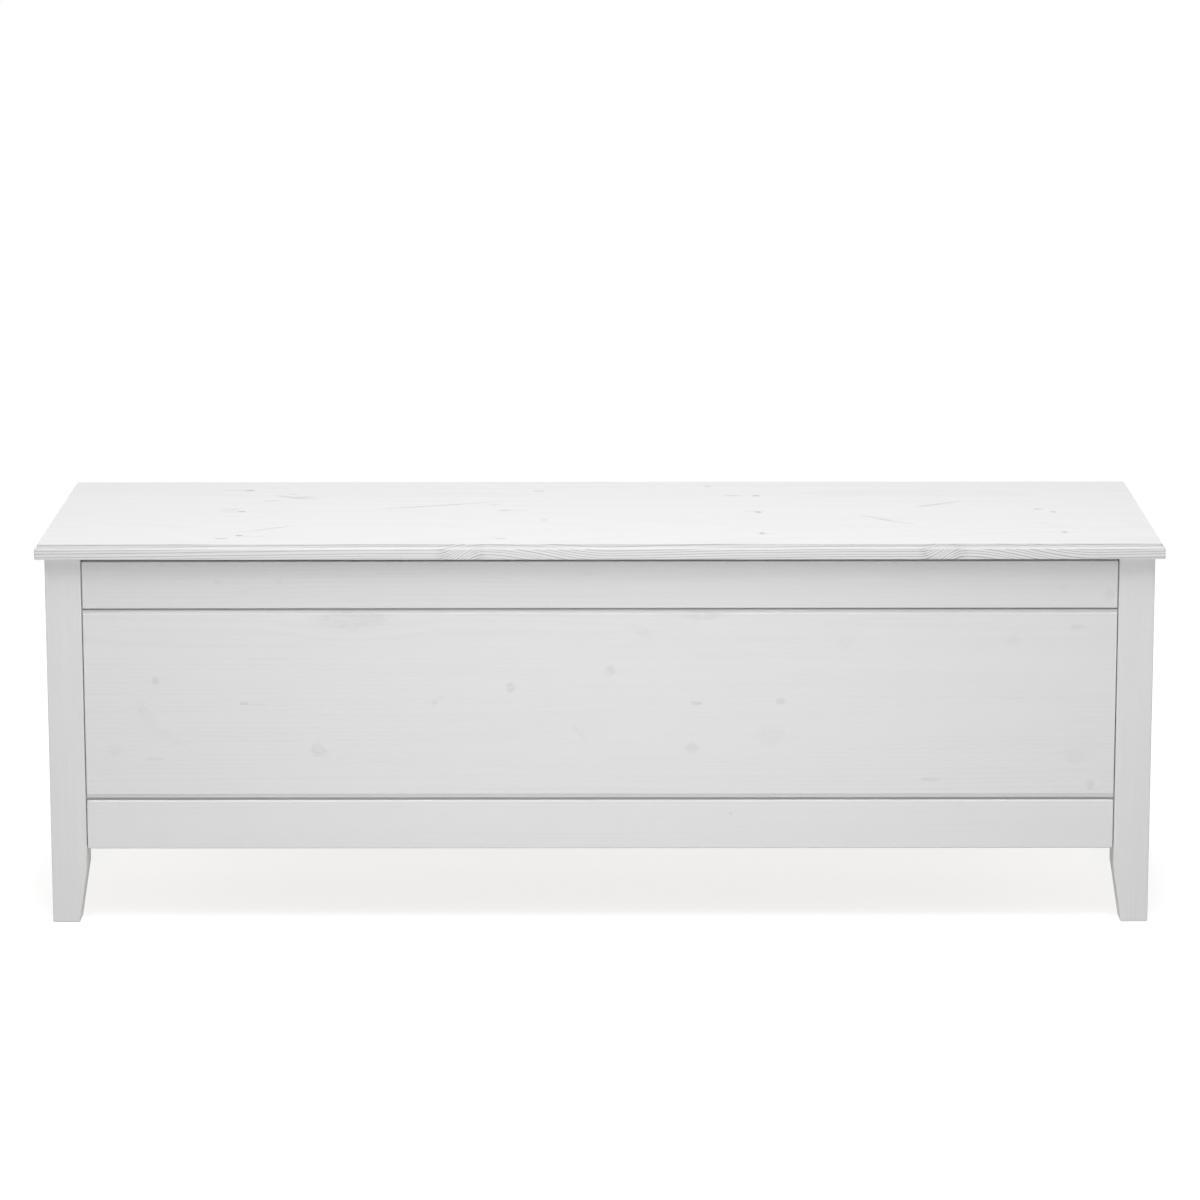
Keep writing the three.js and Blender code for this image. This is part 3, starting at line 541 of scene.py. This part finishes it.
def growth_rings(graph, place, cut, push, sink):
    """(latewood, slow patches, the strip's own tone), each from 0 to 1, where a board cuts its tree."""
    along, across, deep = place
    wander = graph.noise_colour(graph.stretched(place, WANDER_RATES), detail=1.0)
    patch, drift, dip = graph.separate(wander)
    ripple = graph.noise(graph.stretched(place, RIPPLE_RATES), detail=1.0)
    strips = graph.math("DIVIDE", across, cut["strip"])
    strip = graph.math("FLOOR", strips)
    draws = graph.add("TexWhiteNoise", {"W": strip}, noise_dimensions="1D").outputs["Color"]
    side, depth, tilt = graph.separate(draws)
    lean = graph.times(graph.swing(tilt, HEART_TILT), along)
    inside = graph.math("SUBTRACT", graph.math("SUBTRACT", strips, strip), 0.5)
    from_heart = graph.total([
        graph.times(inside, cut["strip"]),
        graph.spread(side, *(share * cut["aside"] for share in HEART_ASIDE_SHARES)),
        push,
        graph.swing(drift, RING_WANDER),
        lean,
    ])
    above_heart = graph.total([
        deep,
        graph.spread(depth, *(share * cut["deep"] for share in HEART_DEEP_SHARES)),
        graph.swing(dip, RING_WANDER),
        lean,
        sink,
    ])
    radius = graph.vector("LENGTH", graph.combine(from_heart, above_heart, 0.0))
    radius = graph.math("MULTIPLY_ADD", ripple, RING_RIPPLE, radius)
    count = graph.math("DIVIDE", radius, cut["spacing"])
    years = graph.noise(graph.combine(graph.times(count, YEAR_RATE), strip, 0.0))
    phase = graph.math("FRACT", graph.math("MULTIPLY_ADD", years, YEAR_SWING, count))
    start = graph.slope(phase, *cut.get("late", LATEWOOD_START))
    return graph.times(start, graph.slope(phase, *LATEWOOD_END)), patch, depth


# Grime and painted shade: how far off each starts, where it is full, and from how little to how much
# The lid's step and hollow: painted shade
STEP_PAINTED_SHADE = (2.2 * MM, 0.3 * MM, 0.0, 0.45)
HOLLOW_PAINTED_SHADE = (2.7 * MM, 1.8 * MM, 0.0, 0.22)
# Joints: grime, and painted shade in the gaps beside them
JOINT_GRIME_AND_SHADE = (1.5 * MM, 0.3 * MM, 0.0, 1.4)
# Under the lid: a painted shadow in a band on the rails
LID_PAINTED_SHADOW = (18 * MM, 2 * MM, 0.0, 0.3)
# How many times wider the grime and painted shade reach from the rails than from the legs, into the
# panel's hollows
RAIL_GRIME_AND_SHADE_SPREAD = 2.7
LID_STEP_DROP = 1.6 * MM
LID_HOLLOW_DROP = 4.1 * MM


def lid_painted_shade(graph, deep):
    """Painted shade, from 0 up, in the step and the hollow round the lid."""
    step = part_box("lid_panel")[1].z - LID_STEP_DROP
    hollow = step - LID_HOLLOW_DROP / 2
    from_step = graph.math("ABSOLUTE", graph.math("SUBTRACT", deep, step))
    from_hollow = graph.math("ABSOLUTE", graph.math("SUBTRACT", deep, hollow))
    return graph.largest([graph.slope(from_step, *STEP_PAINTED_SHADE), graph.slope(from_hollow, *HOLLOW_PAINTED_SHADE)])


def joint_grime_and_shade(graph, place, cut):
    """From 0 up: grime beside the legs and rails that hold a board, with painted shade in the gaps and
    hollows there, and a painted shadow under the lid.
    """
    along, across, _ = place
    leg = getattr(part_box("leg_back_right")[0], cut["axes"][0])
    away = graph.math("SUBTRACT", leg, graph.math("ABSOLUTE", along))
    if "rails" in cut["grime_and_shade"]:
        below = graph.math("SUBTRACT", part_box("front_top_rail")[0].z, across)
        above = graph.math("SUBTRACT", across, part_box("front_bottom_rail")[1].z)
        rail = graph.math("DIVIDE", graph.smallest([below, above]), RAIL_GRIME_AND_SHADE_SPREAD)
        away = graph.smallest([away, rail])
    grime_and_shade = graph.slope(away, *JOINT_GRIME_AND_SHADE)
    # A painted shadow in a band just under the lid
    if "lid_shadow" in cut["grime_and_shade"]:
        under_lid = graph.math("SUBTRACT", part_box("lid_panel")[0].z, across)
        grime_and_shade = graph.largest([grime_and_shade, graph.slope(under_lid, *LID_PAINTED_SHADOW)])
    return grime_and_shade


# Painted shade round the lid's edge, or grime with painted shade and painted shadow at the joints and
# under the lid
def corner_grime_and_shade(graph, place, cut):
    if "grime_and_shade" not in cut:
        return 0.0
    return lid_painted_shade(graph, place[2]) if "step" in cut["grime_and_shade"] else joint_grime_and_shade(graph, place, cut)


# Where the noise turns into patches of rings and into resin canals, and which faces are an arris
RING_PATCH = (0.34, 0.64)
CANAL_PEAK = (0.66, 0.76)
ARRIS_FACING = (0.995, 0.9)


def knots_and_rings(graph, place, cut):
    """(how dark the knots are, latewood, slow patches, the strip's own tone), each from 0 to 1."""
    spots = marked_knots if "marks" in cut else scattered_knots
    push, dark = spots(graph, place, cut)
    streaks = graph.noise(graph.stretched(place, KNOT_STREAK_RATES), detail=1.0)
    dark = graph.times(dark, graph.slope(streaks, *KNOT_STREAKS))
    if "edge_knots" not in cut:
        return dark, *growth_rings(graph, place, cut, push, 0.0)
    sink, edge_dark = edge_knots(graph, place, cut["edge_knots"])
    rings, patch, tone = growth_rings(graph, place, cut, push, sink)
    lined = graph.times(edge_dark, graph.spread(rings, EDGE_KNOT_BETWEEN_RINGS, 1.0))
    return graph.math("MAXIMUM", dark, lined), rings, patch, tone


def wood_figure(graph, cut):
    """The parts of a board's look, each from 0 to 1, and how plainly its rings are shown."""
    place = board_place(graph, cut["axes"])
    knots, rings, patch, tone = knots_and_rings(graph, place, cut)
    facing = board_facing(graph, cut["axes"])
    shown = [
        graph.times(graph.times(part, part), amount)
        for part, amount in zip(facing, reversed(cut["shown"]))
    ]
    canals = graph.noise(graph.stretched(place, CANAL_RATES))
    return {
        "rings": graph.times(rings, graph.slope(patch, *RING_PATCH, *cut.get("patchy", PATCHY_RINGS))),
        "shown": graph.total(shown),
        "knots": knots,
        "tone": tone,
        "fibre": graph.noise(graph.stretched(place, FIBRE_RATES), detail=2.0),
        "bands": graph.noise(graph.stretched(place, BAND_RATES), detail=3.0),
        "brush": graph.noise(graph.stretched(place, BRUSH_RATES), detail=1.0),
        "canals": graph.slope(canals, *CANAL_PEAK),
        "arris": graph.slope(graph.largest(facing), *ARRIS_FACING),
        "grime_and_shade": corner_grime_and_shade(graph, place, cut),
    }


def swings(graph, figure, amounts):
    return [graph.swing(figure[part], amount) for part, amount in amounts.items()]


def built_up(graph, figure, start, amounts):
    """The start, and an amount of each named part of the figure on top."""
    result = start
    for part, amount in amounts.items():
        result = graph.math("MULTIPLY_ADD", figure[part], amount, result)
    return result


WOOD_RELIEF = {"brush": 0.03 * MM, "fibre": 0.015 * MM, "canals": -0.015 * MM}


def wood_relief(graph, figure, strength):
    heights = {part: height * strength for part, height in WOOD_RELIEF.items()}
    return graph.bump(built_up(graph, figure, 0.0, heights))


def finish_shader(graph, base, roughness, normal, metallic=0.0):
    inputs = {"Base Color": base, "Roughness": roughness, "Normal": normal, "Metallic": metallic}
    shader = graph.add("BsdfPrincipled", inputs)
    output = graph.add("OutputMaterial")
    graph.feed(output.inputs["Surface"], shader.outputs["BSDF"])


def new_material(name):
    material = bpy.data.materials.new(name)
    material.use_nodes = True
    return material, Graph(material.node_tree)


# Glazed pine: how much wood each part of the figure lets through, and how much rougher it makes it.
# Worn arrises follow the bands.
GLAZED_SWINGS = {"fibre": 0.10, "bands": 0.12, "brush": 0.08, "tone": 0.05}
GLAZED_CANALS = 0.06
GLAZED_WEAR = (0.35, 0.7, 0.06, 0.26)
GLAZED_ROUGHNESS = 0.38
GLAZED_ROUGHER = {"fibre": 0.10, "rings": 0.05, "brush": 0.08}
GLAZED_RELIEF = 1.0


def glazed_pine(name, cut):
    """Pine under a white glaze so slight that the grain and knots show through a little."""
    material, graph = new_material(name)
    figure = wood_figure(graph, cut)
    through = graph.total([
        graph.times(figure["rings"], figure["shown"]),
        *swings(graph, figure, GLAZED_SWINGS),
        graph.times(figure["canals"], GLAZED_CANALS),
        # Grime, painted shade and painted shadow at the joints, round the lid's edge and under the lid;
        # then darkening all over, which on the front top rail is painted shade
        figure["grime_and_shade"],
        cut.get("thin", 0.0),
        graph.times(figure["arris"], graph.slope(figure["bands"], *GLAZED_WEAR)),
    ])
    base = graph.blend(graph.math("MAXIMUM", through, 0.0), colour(GLAZE), colour(GLAZED_WOOD))
    base = graph.blend(graph.times(figure["knots"], cut["knots"]), base, colour(GLAZED_KNOT))
    roughness = built_up(graph, figure, GLAZED_ROUGHNESS, GLAZED_ROUGHER)
    finish_shader(graph, base, roughness, wood_relief(graph, figure, GLAZED_RELIEF))
    return material


# Bare pine: how much each part of the figure darkens it towards latewood, and its roughness
BARE_RINGS = 0.75
BARE_SWINGS = {"fibre": 0.24, "bands": 0.3, "tone": 0.2}
BARE_CANALS = 0.2
BARE_ROUGHNESS = 0.56
BARE_ROUGHER = {"fibre": 0.14}
BARE_RELIEF = 1.6


def bare_pine(name, cut):
    """Planed pine with no finish."""
    material, graph = new_material(name)
    figure = wood_figure(graph, cut)
    late = graph.total([
        graph.times(graph.times(figure["rings"], figure["shown"]), BARE_RINGS),
        *swings(graph, figure, BARE_SWINGS),
        graph.times(figure["canals"], BARE_CANALS),
    ])
    base = graph.blend(graph.math("MAXIMUM", late, 0.0), colour(BARE_EARLYWOOD), colour(BARE_LATEWOOD))
    base = graph.blend(figure["knots"], base, colour(BARE_KNOT))
    roughness = built_up(graph, figure, BARE_ROUGHNESS, BARE_ROUGHER)
    finish_shader(graph, base, roughness, wood_relief(graph, figure, BARE_RELIEF))
    return material


# Zinc plate: cells per metre of its rolled grain and of its dull patches, and what they do
ROLLED_RATES = (2600.0, 260.0, 2600.0)
ROLLED_ROUGHER = 0.08
ROLLED_RELIEF = 0.004 * MM
DULL_RATES = (120.0, 120.0, 120.0)
DULL_SHARE = 0.5
DULL_ROUGHNESS = (0.22, 0.4)


def zinc_plate(name):
    """Zinc-plated steel, with a faint rolled grain and handling marks."""
    material, graph = new_material(name)
    place = graph.separate(graph.add("TexCoord").outputs["Object"])
    rolled = graph.noise(graph.stretched(place, ROLLED_RATES), detail=2.0)
    dull = graph.noise(graph.stretched(place, DULL_RATES), detail=3.0)
    base = graph.blend(graph.times(dull, DULL_SHARE), colour(ZINC), colour(DULL_ZINC))
    roughness = graph.math("MULTIPLY_ADD", rolled, ROLLED_ROUGHER, graph.spread(dull, *DULL_ROUGHNESS))
    normal = graph.bump(graph.times(rolled, ROLLED_RELIEF))
    finish_shader(graph, base, roughness, normal, metallic=1.0)
    return material


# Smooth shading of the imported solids: their meshes stay, and modifiers join the split corners
MERGE_DISTANCE = 0.01 * MM
SHARP_ANGLE = math.radians(50)
FLAT_ANGLE = math.radians(1)
BEVEL_ANGLE = math.radians(40)
BEVEL_SEGMENTS = 2
STEEL_BEVEL = 0.25 * MM
BEVELLED = ("hinge_case_leaf", "hinge_lid_leaf", "stay_bracket_left", "stay_bracket_right", "stay_arm")


def shading_group():
    group = bpy.data.node_groups.new("rounded_shading", "GeometryNodeTree")
    group.interface.new_socket("Geometry", in_out="INPUT", socket_type="NodeSocketGeometry")
    group.interface.new_socket("Geometry", in_out="OUTPUT", socket_type="NodeSocketGeometry")
    made = group.nodes.new
    link = group.links.new
    start = made("NodeGroupInput")
    end = made("NodeGroupOutput")
    merge = made("GeometryNodeMergeByDistance")
    merge.inputs["Distance"].default_value = MERGE_DISTANCE
    smooth = made("GeometryNodeSetShadeSmooth")
    smooth.inputs["Shade Smooth"].default_value = True
    angle = made("GeometryNodeInputMeshEdgeAngle")
    sharp = made("FunctionNodeCompare")
    sharp.operation = "GREATER_THAN"
    sharp.inputs["B"].default_value = SHARP_ANGLE
    crease = made("GeometryNodeSetShadeSmooth")
    crease.domain = "EDGE"
    crease.inputs["Shade Smooth"].default_value = False
    link(start.outputs["Geometry"], merge.inputs["Geometry"])
    link(merge.outputs["Geometry"], smooth.inputs["Geometry"])
    link(smooth.outputs["Geometry"], crease.inputs["Geometry"])
    link(angle.outputs["Unsigned Angle"], sharp.inputs["A"])
    link(sharp.outputs["Result"], crease.inputs["Selection"])
    link(crease.outputs["Geometry"], end.inputs["Geometry"])
    return group


def round_edges(piece, bevel):
    """Joins the flat faces, so that only real edges are rounded."""
    flats = piece.modifiers.new("flats", "DECIMATE")
    flats.decimate_type = "DISSOLVE"
    flats.angle_limit = FLAT_ANGLE
    edges = piece.modifiers.new("edges", "BEVEL")
    edges.width = bevel
    edges.segments = BEVEL_SEGMENTS
    edges.limit_method = "ANGLE"
    edges.angle_limit = BEVEL_ANGLE


def shade(piece, group, bevel):
    joined = piece.modifiers.new("joined", "NODES")
    joined.node_group = group
    if bevel:
        round_edges(piece, bevel)
    normals = piece.modifiers.new("normals", "WEIGHTED_NORMAL")
    normals.keep_sharp = True


def dress_nodes():
    """Returns the steel's material, for the fasteners."""
    group = shading_group()
    wood = {}
    for name, cut in CUTS.items():
        bare = name.startswith("bare")
        wood[name] = bare_pine(name, cut) if bare else glazed_pine(name + "_glazed", cut)
    zinc = zinc_plate("zinc_plate")
    for name, piece in nodes.items():
        cut = next((value for key, value in NODE_CUTS.items() if name.startswith(key)), None)
        piece.data.materials.clear()
        piece.data.materials.append(wood.get(cut, zinc))
        shade(piece, group, STEEL_BEVEL if name.startswith(BEVELLED) else 0.0)
    return zinc


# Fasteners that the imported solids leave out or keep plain.
# Screws: a cross, and the thread's depth, as shares. Heads: (radius, height) as shares, from the top.
SMALL_SCREW = {"head": 2.8 * MM, "rise": 1.5 * MM, "shank": 1.3 * MM, "rim": 0.15 * MM}
LARGE_SCREW = {"head": 3.8 * MM, "rise": 2.4 * MM, "shank": 1.9 * MM, "rim": 0.2 * MM}
PAN_SCREW = {"head": 4.0 * MM, "rise": 2.4 * MM, "shank": 1.9 * MM}
NAIL = {"head": 1.6 * MM, "rise": 0.3 * MM, "shank": 0.8 * MM, "length": 28 * MM}
PAN_HEAD_SHARES = ((0.7, 1.0), (0.87, 0.86), (0.97, 0.6), (1.0, 0.2), (1.0, 0.0))
NAIL_HEAD_SHARES = ((0.3, 1.0), (0.75, 0.8), (1.0, 0.3), (1.0, -1.0))
TURNED_SIDES = 20
TURNED_SHARP_ANGLE = math.radians(35)
POINT_SHARE = 0.1
NAIL_POINT_SHARE = 2.0
THREAD_PITCH = 1.1 * MM
THREAD_ROOT_SHARE = 0.76
CROSS_ARM_SHARE = 0.66
PAN_CROSS_ARM_SHARE = 0.6
CROSS_WIDTH_SHARE = 0.17
CROSS_FLOOR_SHARE = 0.45
CROSS_DEPTH_SHARE = 0.7
PROUD = 0.05 * MM
TWIST_STEP = math.radians(137.5)

# Places of the fasteners, as shares of the piece that they hold, and how far in they go
BATTEN_SCREW_SHARES = (-0.38, 0.0, 0.38)
LONG_CLEAT_SCREW_SHARES = (-0.42, -0.14, 0.14, 0.42)
SHORT_CLEAT_SCREW_SHARES = (-0.36, 0.0, 0.36)
BEARER_SCREW_SHARES = (-0.25, 0.25)
BOARD_NAIL_SHARES = (-0.3, 0.3)
LONG_CLEAT_NAIL_SHARES = (-0.462, -0.154, 0.154, 0.462)
BOTTOM_BOARDS = 4
LID_BITE_SHARE = 0.62
BEARER_BITE_SHARE = 0.7
RAIL_BITE = 12 * MM

UP = Vector((0.0, 0.0, 1.0))


def ring(mesh, radius, height):
    step = 2 * math.pi / TURNED_SIDES
    return [
        mesh.verts.new((radius * math.cos(index * step), radius * math.sin(index * step), height))
        for index in range(TURNED_SIDES)
    ]


def cross(mesh, arm, half_width, height):
    """The twelve corners of a cross."""
    corners = []
    for quarter in range(4):
        turn = Matrix.Rotation(quarter * math.pi / 2, 3, "Z")
        for x, y in ((arm, -half_width), (arm, half_width), (half_width, half_width)):
            corners.append(mesh.verts.new(turn @ Vector((x, y, height))))
    return corners


def wall(mesh, upper, lower):
    for index, corner in enumerate(upper):
        before = index - 1
        mesh.faces.new((upper[before], lower[before], lower[index], corner))


def loop_edges(mesh, corners):
    return [
        mesh.edges.get((corners[index - 1], corner)) or mesh.edges.new((corners[index - 1], corner))
        for index, corner in enumerate(corners)
    ]


def threaded(shank, start, end):
    """(radius, height) down a threaded shank to its point."""
    steps = int((start - end) / THREAD_PITCH * 2)
    profile = []
    for step in range(steps):
        radius = shank if step % 2 else shank * THREAD_ROOT_SHARE
        profile.append((radius, start - step * THREAD_PITCH / 2))
    profile.append((POINT_SHARE * shank, end))
    return profile


def turned_mesh(name, profile, recess=None):
    """Turned about Z from its top face down, with a cross recess (arm, width, depth) in the top."""
    mesh = bmesh.new()
    rings = [ring(mesh, radius, height) for radius, height in profile]
    for upper, lower in zip(rings, rings[1:]):
        wall(mesh, upper, lower)
    mesh.faces.new(list(reversed(rings[-1])))
    if recess:
        arm, half_width, depth = recess
        top = profile[0][1]
        mouth = cross(mesh, arm, half_width, top)
        bottom = cross(mesh, arm * CROSS_FLOOR_SHARE, half_width * CROSS_FLOOR_SHARE, top - depth)
        edges = loop_edges(mesh, rings[0]) + loop_edges(mesh, mouth)
        bmesh.ops.triangle_fill(mesh, edges=edges, use_beauty=True, normal=UP)
        wall(mesh, bottom, mouth)
        mesh.faces.new(bottom)
    else:
        mesh.faces.new(rings[0])
    bmesh.ops.recalc_face_normals(mesh, faces=mesh.faces)
    for face in mesh.faces:
        face.smooth = True
    made = bpy.data.meshes.new(name)
    mesh.to_mesh(made)
    mesh.free()
    made.set_sharp_from_angle(angle=TURNED_SHARP_ANGLE)
    return made


def cross_recess(kind, arm_share):
    return kind["head"] * arm_share, kind["head"] * CROSS_WIDTH_SHARE, kind["rise"] * CROSS_DEPTH_SHARE


def head_profile(kind, shares):
    return [(radius * kind["head"], height * kind["rise"]) for radius, height in shares]


def countersunk_mesh(name, kind, length):
    head = kind["head"]
    rim = kind["rim"]
    profile = [(head - rim, 0.0), (head, -rim), (head, -2 * rim)]
    profile += threaded(kind["shank"], -kind["rise"], -length)
    return turned_mesh(name, profile, cross_recess(kind, CROSS_ARM_SHARE))


def pan_mesh(name, kind, length):
    profile = head_profile(kind, PAN_HEAD_SHARES)
    profile += threaded(kind["shank"], 0.0, -length)
    return turned_mesh(name, profile, cross_recess(kind, PAN_CROSS_ARM_SHARE))


def nail_mesh(name, kind):
    shank = kind["shank"]
    length = kind["length"]
    profile = head_profile(kind, NAIL_HEAD_SHARES)
    profile += [(shank, -kind["rise"]), (shank, -length)]
    profile.append((POINT_SHARE * shank, -length - NAIL_POINT_SHARE * shank))
    return turned_mesh(name, profile)


class Fasteners:
    """Places copies of turned meshes, each turned a little further than the last."""

    def __init__(self, material):
        self.material = material
        self.placed = 0

    def place(self, name, mesh, at, out, body):
        piece = bpy.data.objects.new(name, mesh)
        if not mesh.materials:
            mesh.materials.append(self.material)
        aim = Vector(out).to_track_quat("Z", "Y").to_matrix().to_4x4()
        twist = Matrix.Rotation(self.placed * TWIST_STEP, 4, "Z")
        piece.matrix_world = Matrix.Translation(at) @ aim @ twist
        scene.collection.objects.link(piece)
        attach(piece, body)
        self.placed += 1
        return piece


def middle_of(low, high):
    return (low + high) / 2


def replace_screws(fasteners):
    """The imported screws, with a cross recess and a thread."""
    meshes = {}
    for name in [name for name in nodes if "_screw_" in name]:
        low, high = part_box(name)
        family = name.split("_screw_")[0]
        if family not in meshes:
            meshes[family] = countersunk_mesh(family + "_screw", SMALL_SCREW, high.z - low.z)
        heads_up = family == "hinge_case"
        at = middle_of(low, high)
        at.z = high.z if heads_up else low.z
        body = "case" if heads_up else "lid"
        piece = fasteners.place(name + "_cross", meshes[family], at, UP if heads_up else -UP, body)
        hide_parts(name)


def add_batten_screws(fasteners):
    boxes = {side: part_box("lid_batten_" + side) for side in ("left", "middle", "right")}
    lid_low, lid_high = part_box("lid_panel")
    length = lid_low.z - boxes["left"][0].z + LID_BITE_SHARE * (lid_high.z - lid_low.z)
    mesh = countersunk_mesh("batten_screw", LARGE_SCREW, length)
    for side, (low, high) in boxes.items():
        for number, share in enumerate(BATTEN_SCREW_SHARES, start=1):
            at = middle_of(low, high)
            at.y += share * (high.y - low.y)
            at.z = low.z
            fasteners.place(f"batten_screw_{side}_{number}", mesh, at, -UP, "lid")


# Each cleat: its side, which way it runs, which way is into the chest, and where its screws are
CLEATS = (
    ("front", (1, 0, 0), (0, 1, 0), LONG_CLEAT_SCREW_SHARES),
    ("back", (1, 0, 0), (0, -1, 0), LONG_CLEAT_SCREW_SHARES),
    ("left", (0, 1, 0), (1, 0, 0), SHORT_CLEAT_SCREW_SHARES),
    ("right", (0, 1, 0), (-1, 0, 0), SHORT_CLEAT_SCREW_SHARES),
)


def add_cleat_screws(fasteners):
    """Each cleat is screwed to its rail from inside the chest."""
    low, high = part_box("front_cleat")
    thickness = high.y - low.y
    mesh = pan_mesh("cleat_screw", PAN_SCREW, thickness + RAIL_BITE)
    for side, run, inward, shares in CLEATS:
        low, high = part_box(side + "_cleat")
        along = Vector(run)
        out = Vector(inward)
        for number, share in enumerate(shares, start=1):
            at = middle_of(low, high) + along * share * (high - low).dot(along) + out * thickness / 2
            fasteners.place(f"{side}_cleat_screw_{number}", mesh, at, out, "case")


def add_bearer_screws(fasteners):
    low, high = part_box("bottom_bearer")
    long_y = middle_of(*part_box("back_cleat")).y
    mesh = countersunk_mesh("bearer_screw", SMALL_SCREW, BEARER_BITE_SHARE * (high.z - low.z))
    for number, side in enumerate((-1, 1), start=1):
        for letter, share in zip("ab", BEARER_SCREW_SHARES):
            at = Vector((share * (high.x - low.x), side * long_y, low.z - PROUD))
            fasteners.place(f"bearer_screw_{number}_{letter}", mesh, at, -UP, "case")


def add_board_nails(fasteners):
    """Nails down through the bottom boards into the cleats and the bearer."""
    mesh = nail_mesh("board_nail", NAIL)
    end_x = middle_of(*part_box("right_cleat")).x
    long_y = middle_of(*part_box("back_cleat")).y
    spots = []
    for number in range(1, BOTTOM_BOARDS + 1):
        low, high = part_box(f"bottom_board_{number}")
        for x in (-end_x, 0.0, end_x):
            for share in BOARD_NAIL_SHARES:
                spots.append((x, middle_of(low, high).y + share * (high.y - low.y), high.z))
    for side in (-1, 1):
        for share in LONG_CLEAT_NAIL_SHARES:
            spots.append((share * 2 * end_x, side * long_y, high.z))
    for number, spot in enumerate(spots, start=1):
        fasteners.place(f"board_nail_{number}", mesh, Vector(spot), UP, "case")


def add_fasteners(material):
    fasteners = Fasteners(material)
    replace_screws(fasteners)
    add_batten_screws(fasteners)
    add_cleat_screws(fasteners)
    add_bearer_screws(fasteners)
    add_board_nails(fasteners)


# Stage

def add_camera():
    data = bpy.data.cameras.new("camera")
    data.lens = CAMERA_LENS
    data.sensor_width = CAMERA_SENSOR
    data.clip_start = CAMERA_NEAREST
    data.clip_end = CAMERA_FARTHEST
    camera = bpy.data.objects.new("camera", data)
    yaw = Matrix.Rotation(math.radians(CAMERA_YAW_DEGREES), 4, "Z")
    pitch = Matrix.Rotation(math.radians(90 - CAMERA_PITCH_DEGREES), 4, "X")
    roll = Matrix.Rotation(math.radians(CAMERA_ROLL_DEGREES), 4, "Z")
    camera.matrix_world = Matrix.Translation(CAMERA_PLACE) @ yaw @ pitch @ roll
    scene.collection.objects.link(camera)
    scene.camera = camera


def seen_directly(graph):
    """1 for rays from the camera, from glossy surfaces and through glass, and 0 for light."""
    path = graph.add("LightPath").outputs
    return graph.largest([path["Is Camera Ray"], path["Is Glossy Ray"], path["Is Transmission Ray"]])


def light_room():
    world = bpy.data.worlds.new("room")
    world.use_nodes = True
    graph = Graph(world.node_tree)
    strength = graph.spread(seen_directly(graph), ROOM_LIGHT, 1.0)
    background = graph.add("Background", {"Color": colour(WHITE), "Strength": strength})
    output = graph.add("OutputWorld")
    graph.feed(output.inputs["Surface"], background.outputs["Background"])
    scene.world = world


def add_soft_box(box):
    data = bpy.data.lights.new(box["name"], "AREA")
    data.shape = "RECTANGLE"
    data.size, data.size_y = box["size"]
    data.energy = box["watts"]
    lamp = bpy.data.objects.new(box["name"], data)
    aim = (Vector(SOFT_BOX_AIM) - Vector(box["place"])).to_track_quat("-Z", "Y")
    lamp.matrix_world = Matrix.Translation(box["place"]) @ aim.to_matrix().to_4x4()
    lamp.visible_camera = False
    lamp.visible_glossy = False
    scene.collection.objects.link(lamp)


def mix_shaders(graph, share, first, second):
    mixed = graph.add("MixShader", {"Fac": share})
    graph.feed(mixed.inputs[1], first)
    graph.feed(mixed.inputs[2], second)
    return mixed.outputs[0]


def floor_material():
    """White to the camera, darker under the chest, and clear from below."""
    material, graph = new_material("floor")
    spot = graph.add("TexCoord").outputs["Object"]
    far = graph.slope(graph.vector("LENGTH", spot), FLOOR_NEAR, FLOOR_FAR)
    matte = graph.add("BsdfDiffuse", {"Color": colour((FLOOR_COLOUR,) * 3)}).outputs[0]
    glow = graph.add("Emission", {"Color": colour(WHITE), "Strength": FLOOR_GLOW}).outputs[0]
    near_look = graph.add("AddShader")
    graph.feed(near_look.inputs[0], matte)
    graph.feed(near_look.inputs[1], glow)
    far_look = graph.add("Emission", {"Color": colour(WHITE), "Strength": 1.0}).outputs[0]
    shown = mix_shaders(graph, far, near_look.outputs[0], far_look)
    above = mix_shaders(graph, seen_directly(graph), matte, shown)
    from_below = graph.add("NewGeometry").outputs["Backfacing"]
    clear = graph.add("BsdfTransparent").outputs[0]
    output = graph.add("OutputMaterial")
    graph.feed(output.inputs["Surface"], mix_shaders(graph, from_below, above, clear))
    return material


def add_floor():
    mesh = bpy.data.meshes.new("floor")
    side = FLOOR_HALF_SIDE
    corners = [(x * side, y * side, -FLOOR_BELOW) for x, y in ((-1, -1), (1, -1), (1, 1), (-1, 1))]
    mesh.from_pydata(corners, [], [(0, 1, 2, 3)])
    floor = bpy.data.objects.new("floor", mesh)
    mesh.materials.append(floor_material())
    scene.collection.objects.link(floor)


scene.view_settings.view_transform = "Standard"
add_camera()
light_room()
for box in SOFT_BOXES:
    add_soft_box(box)
add_floor()
add_fasteners(dress_nodes())
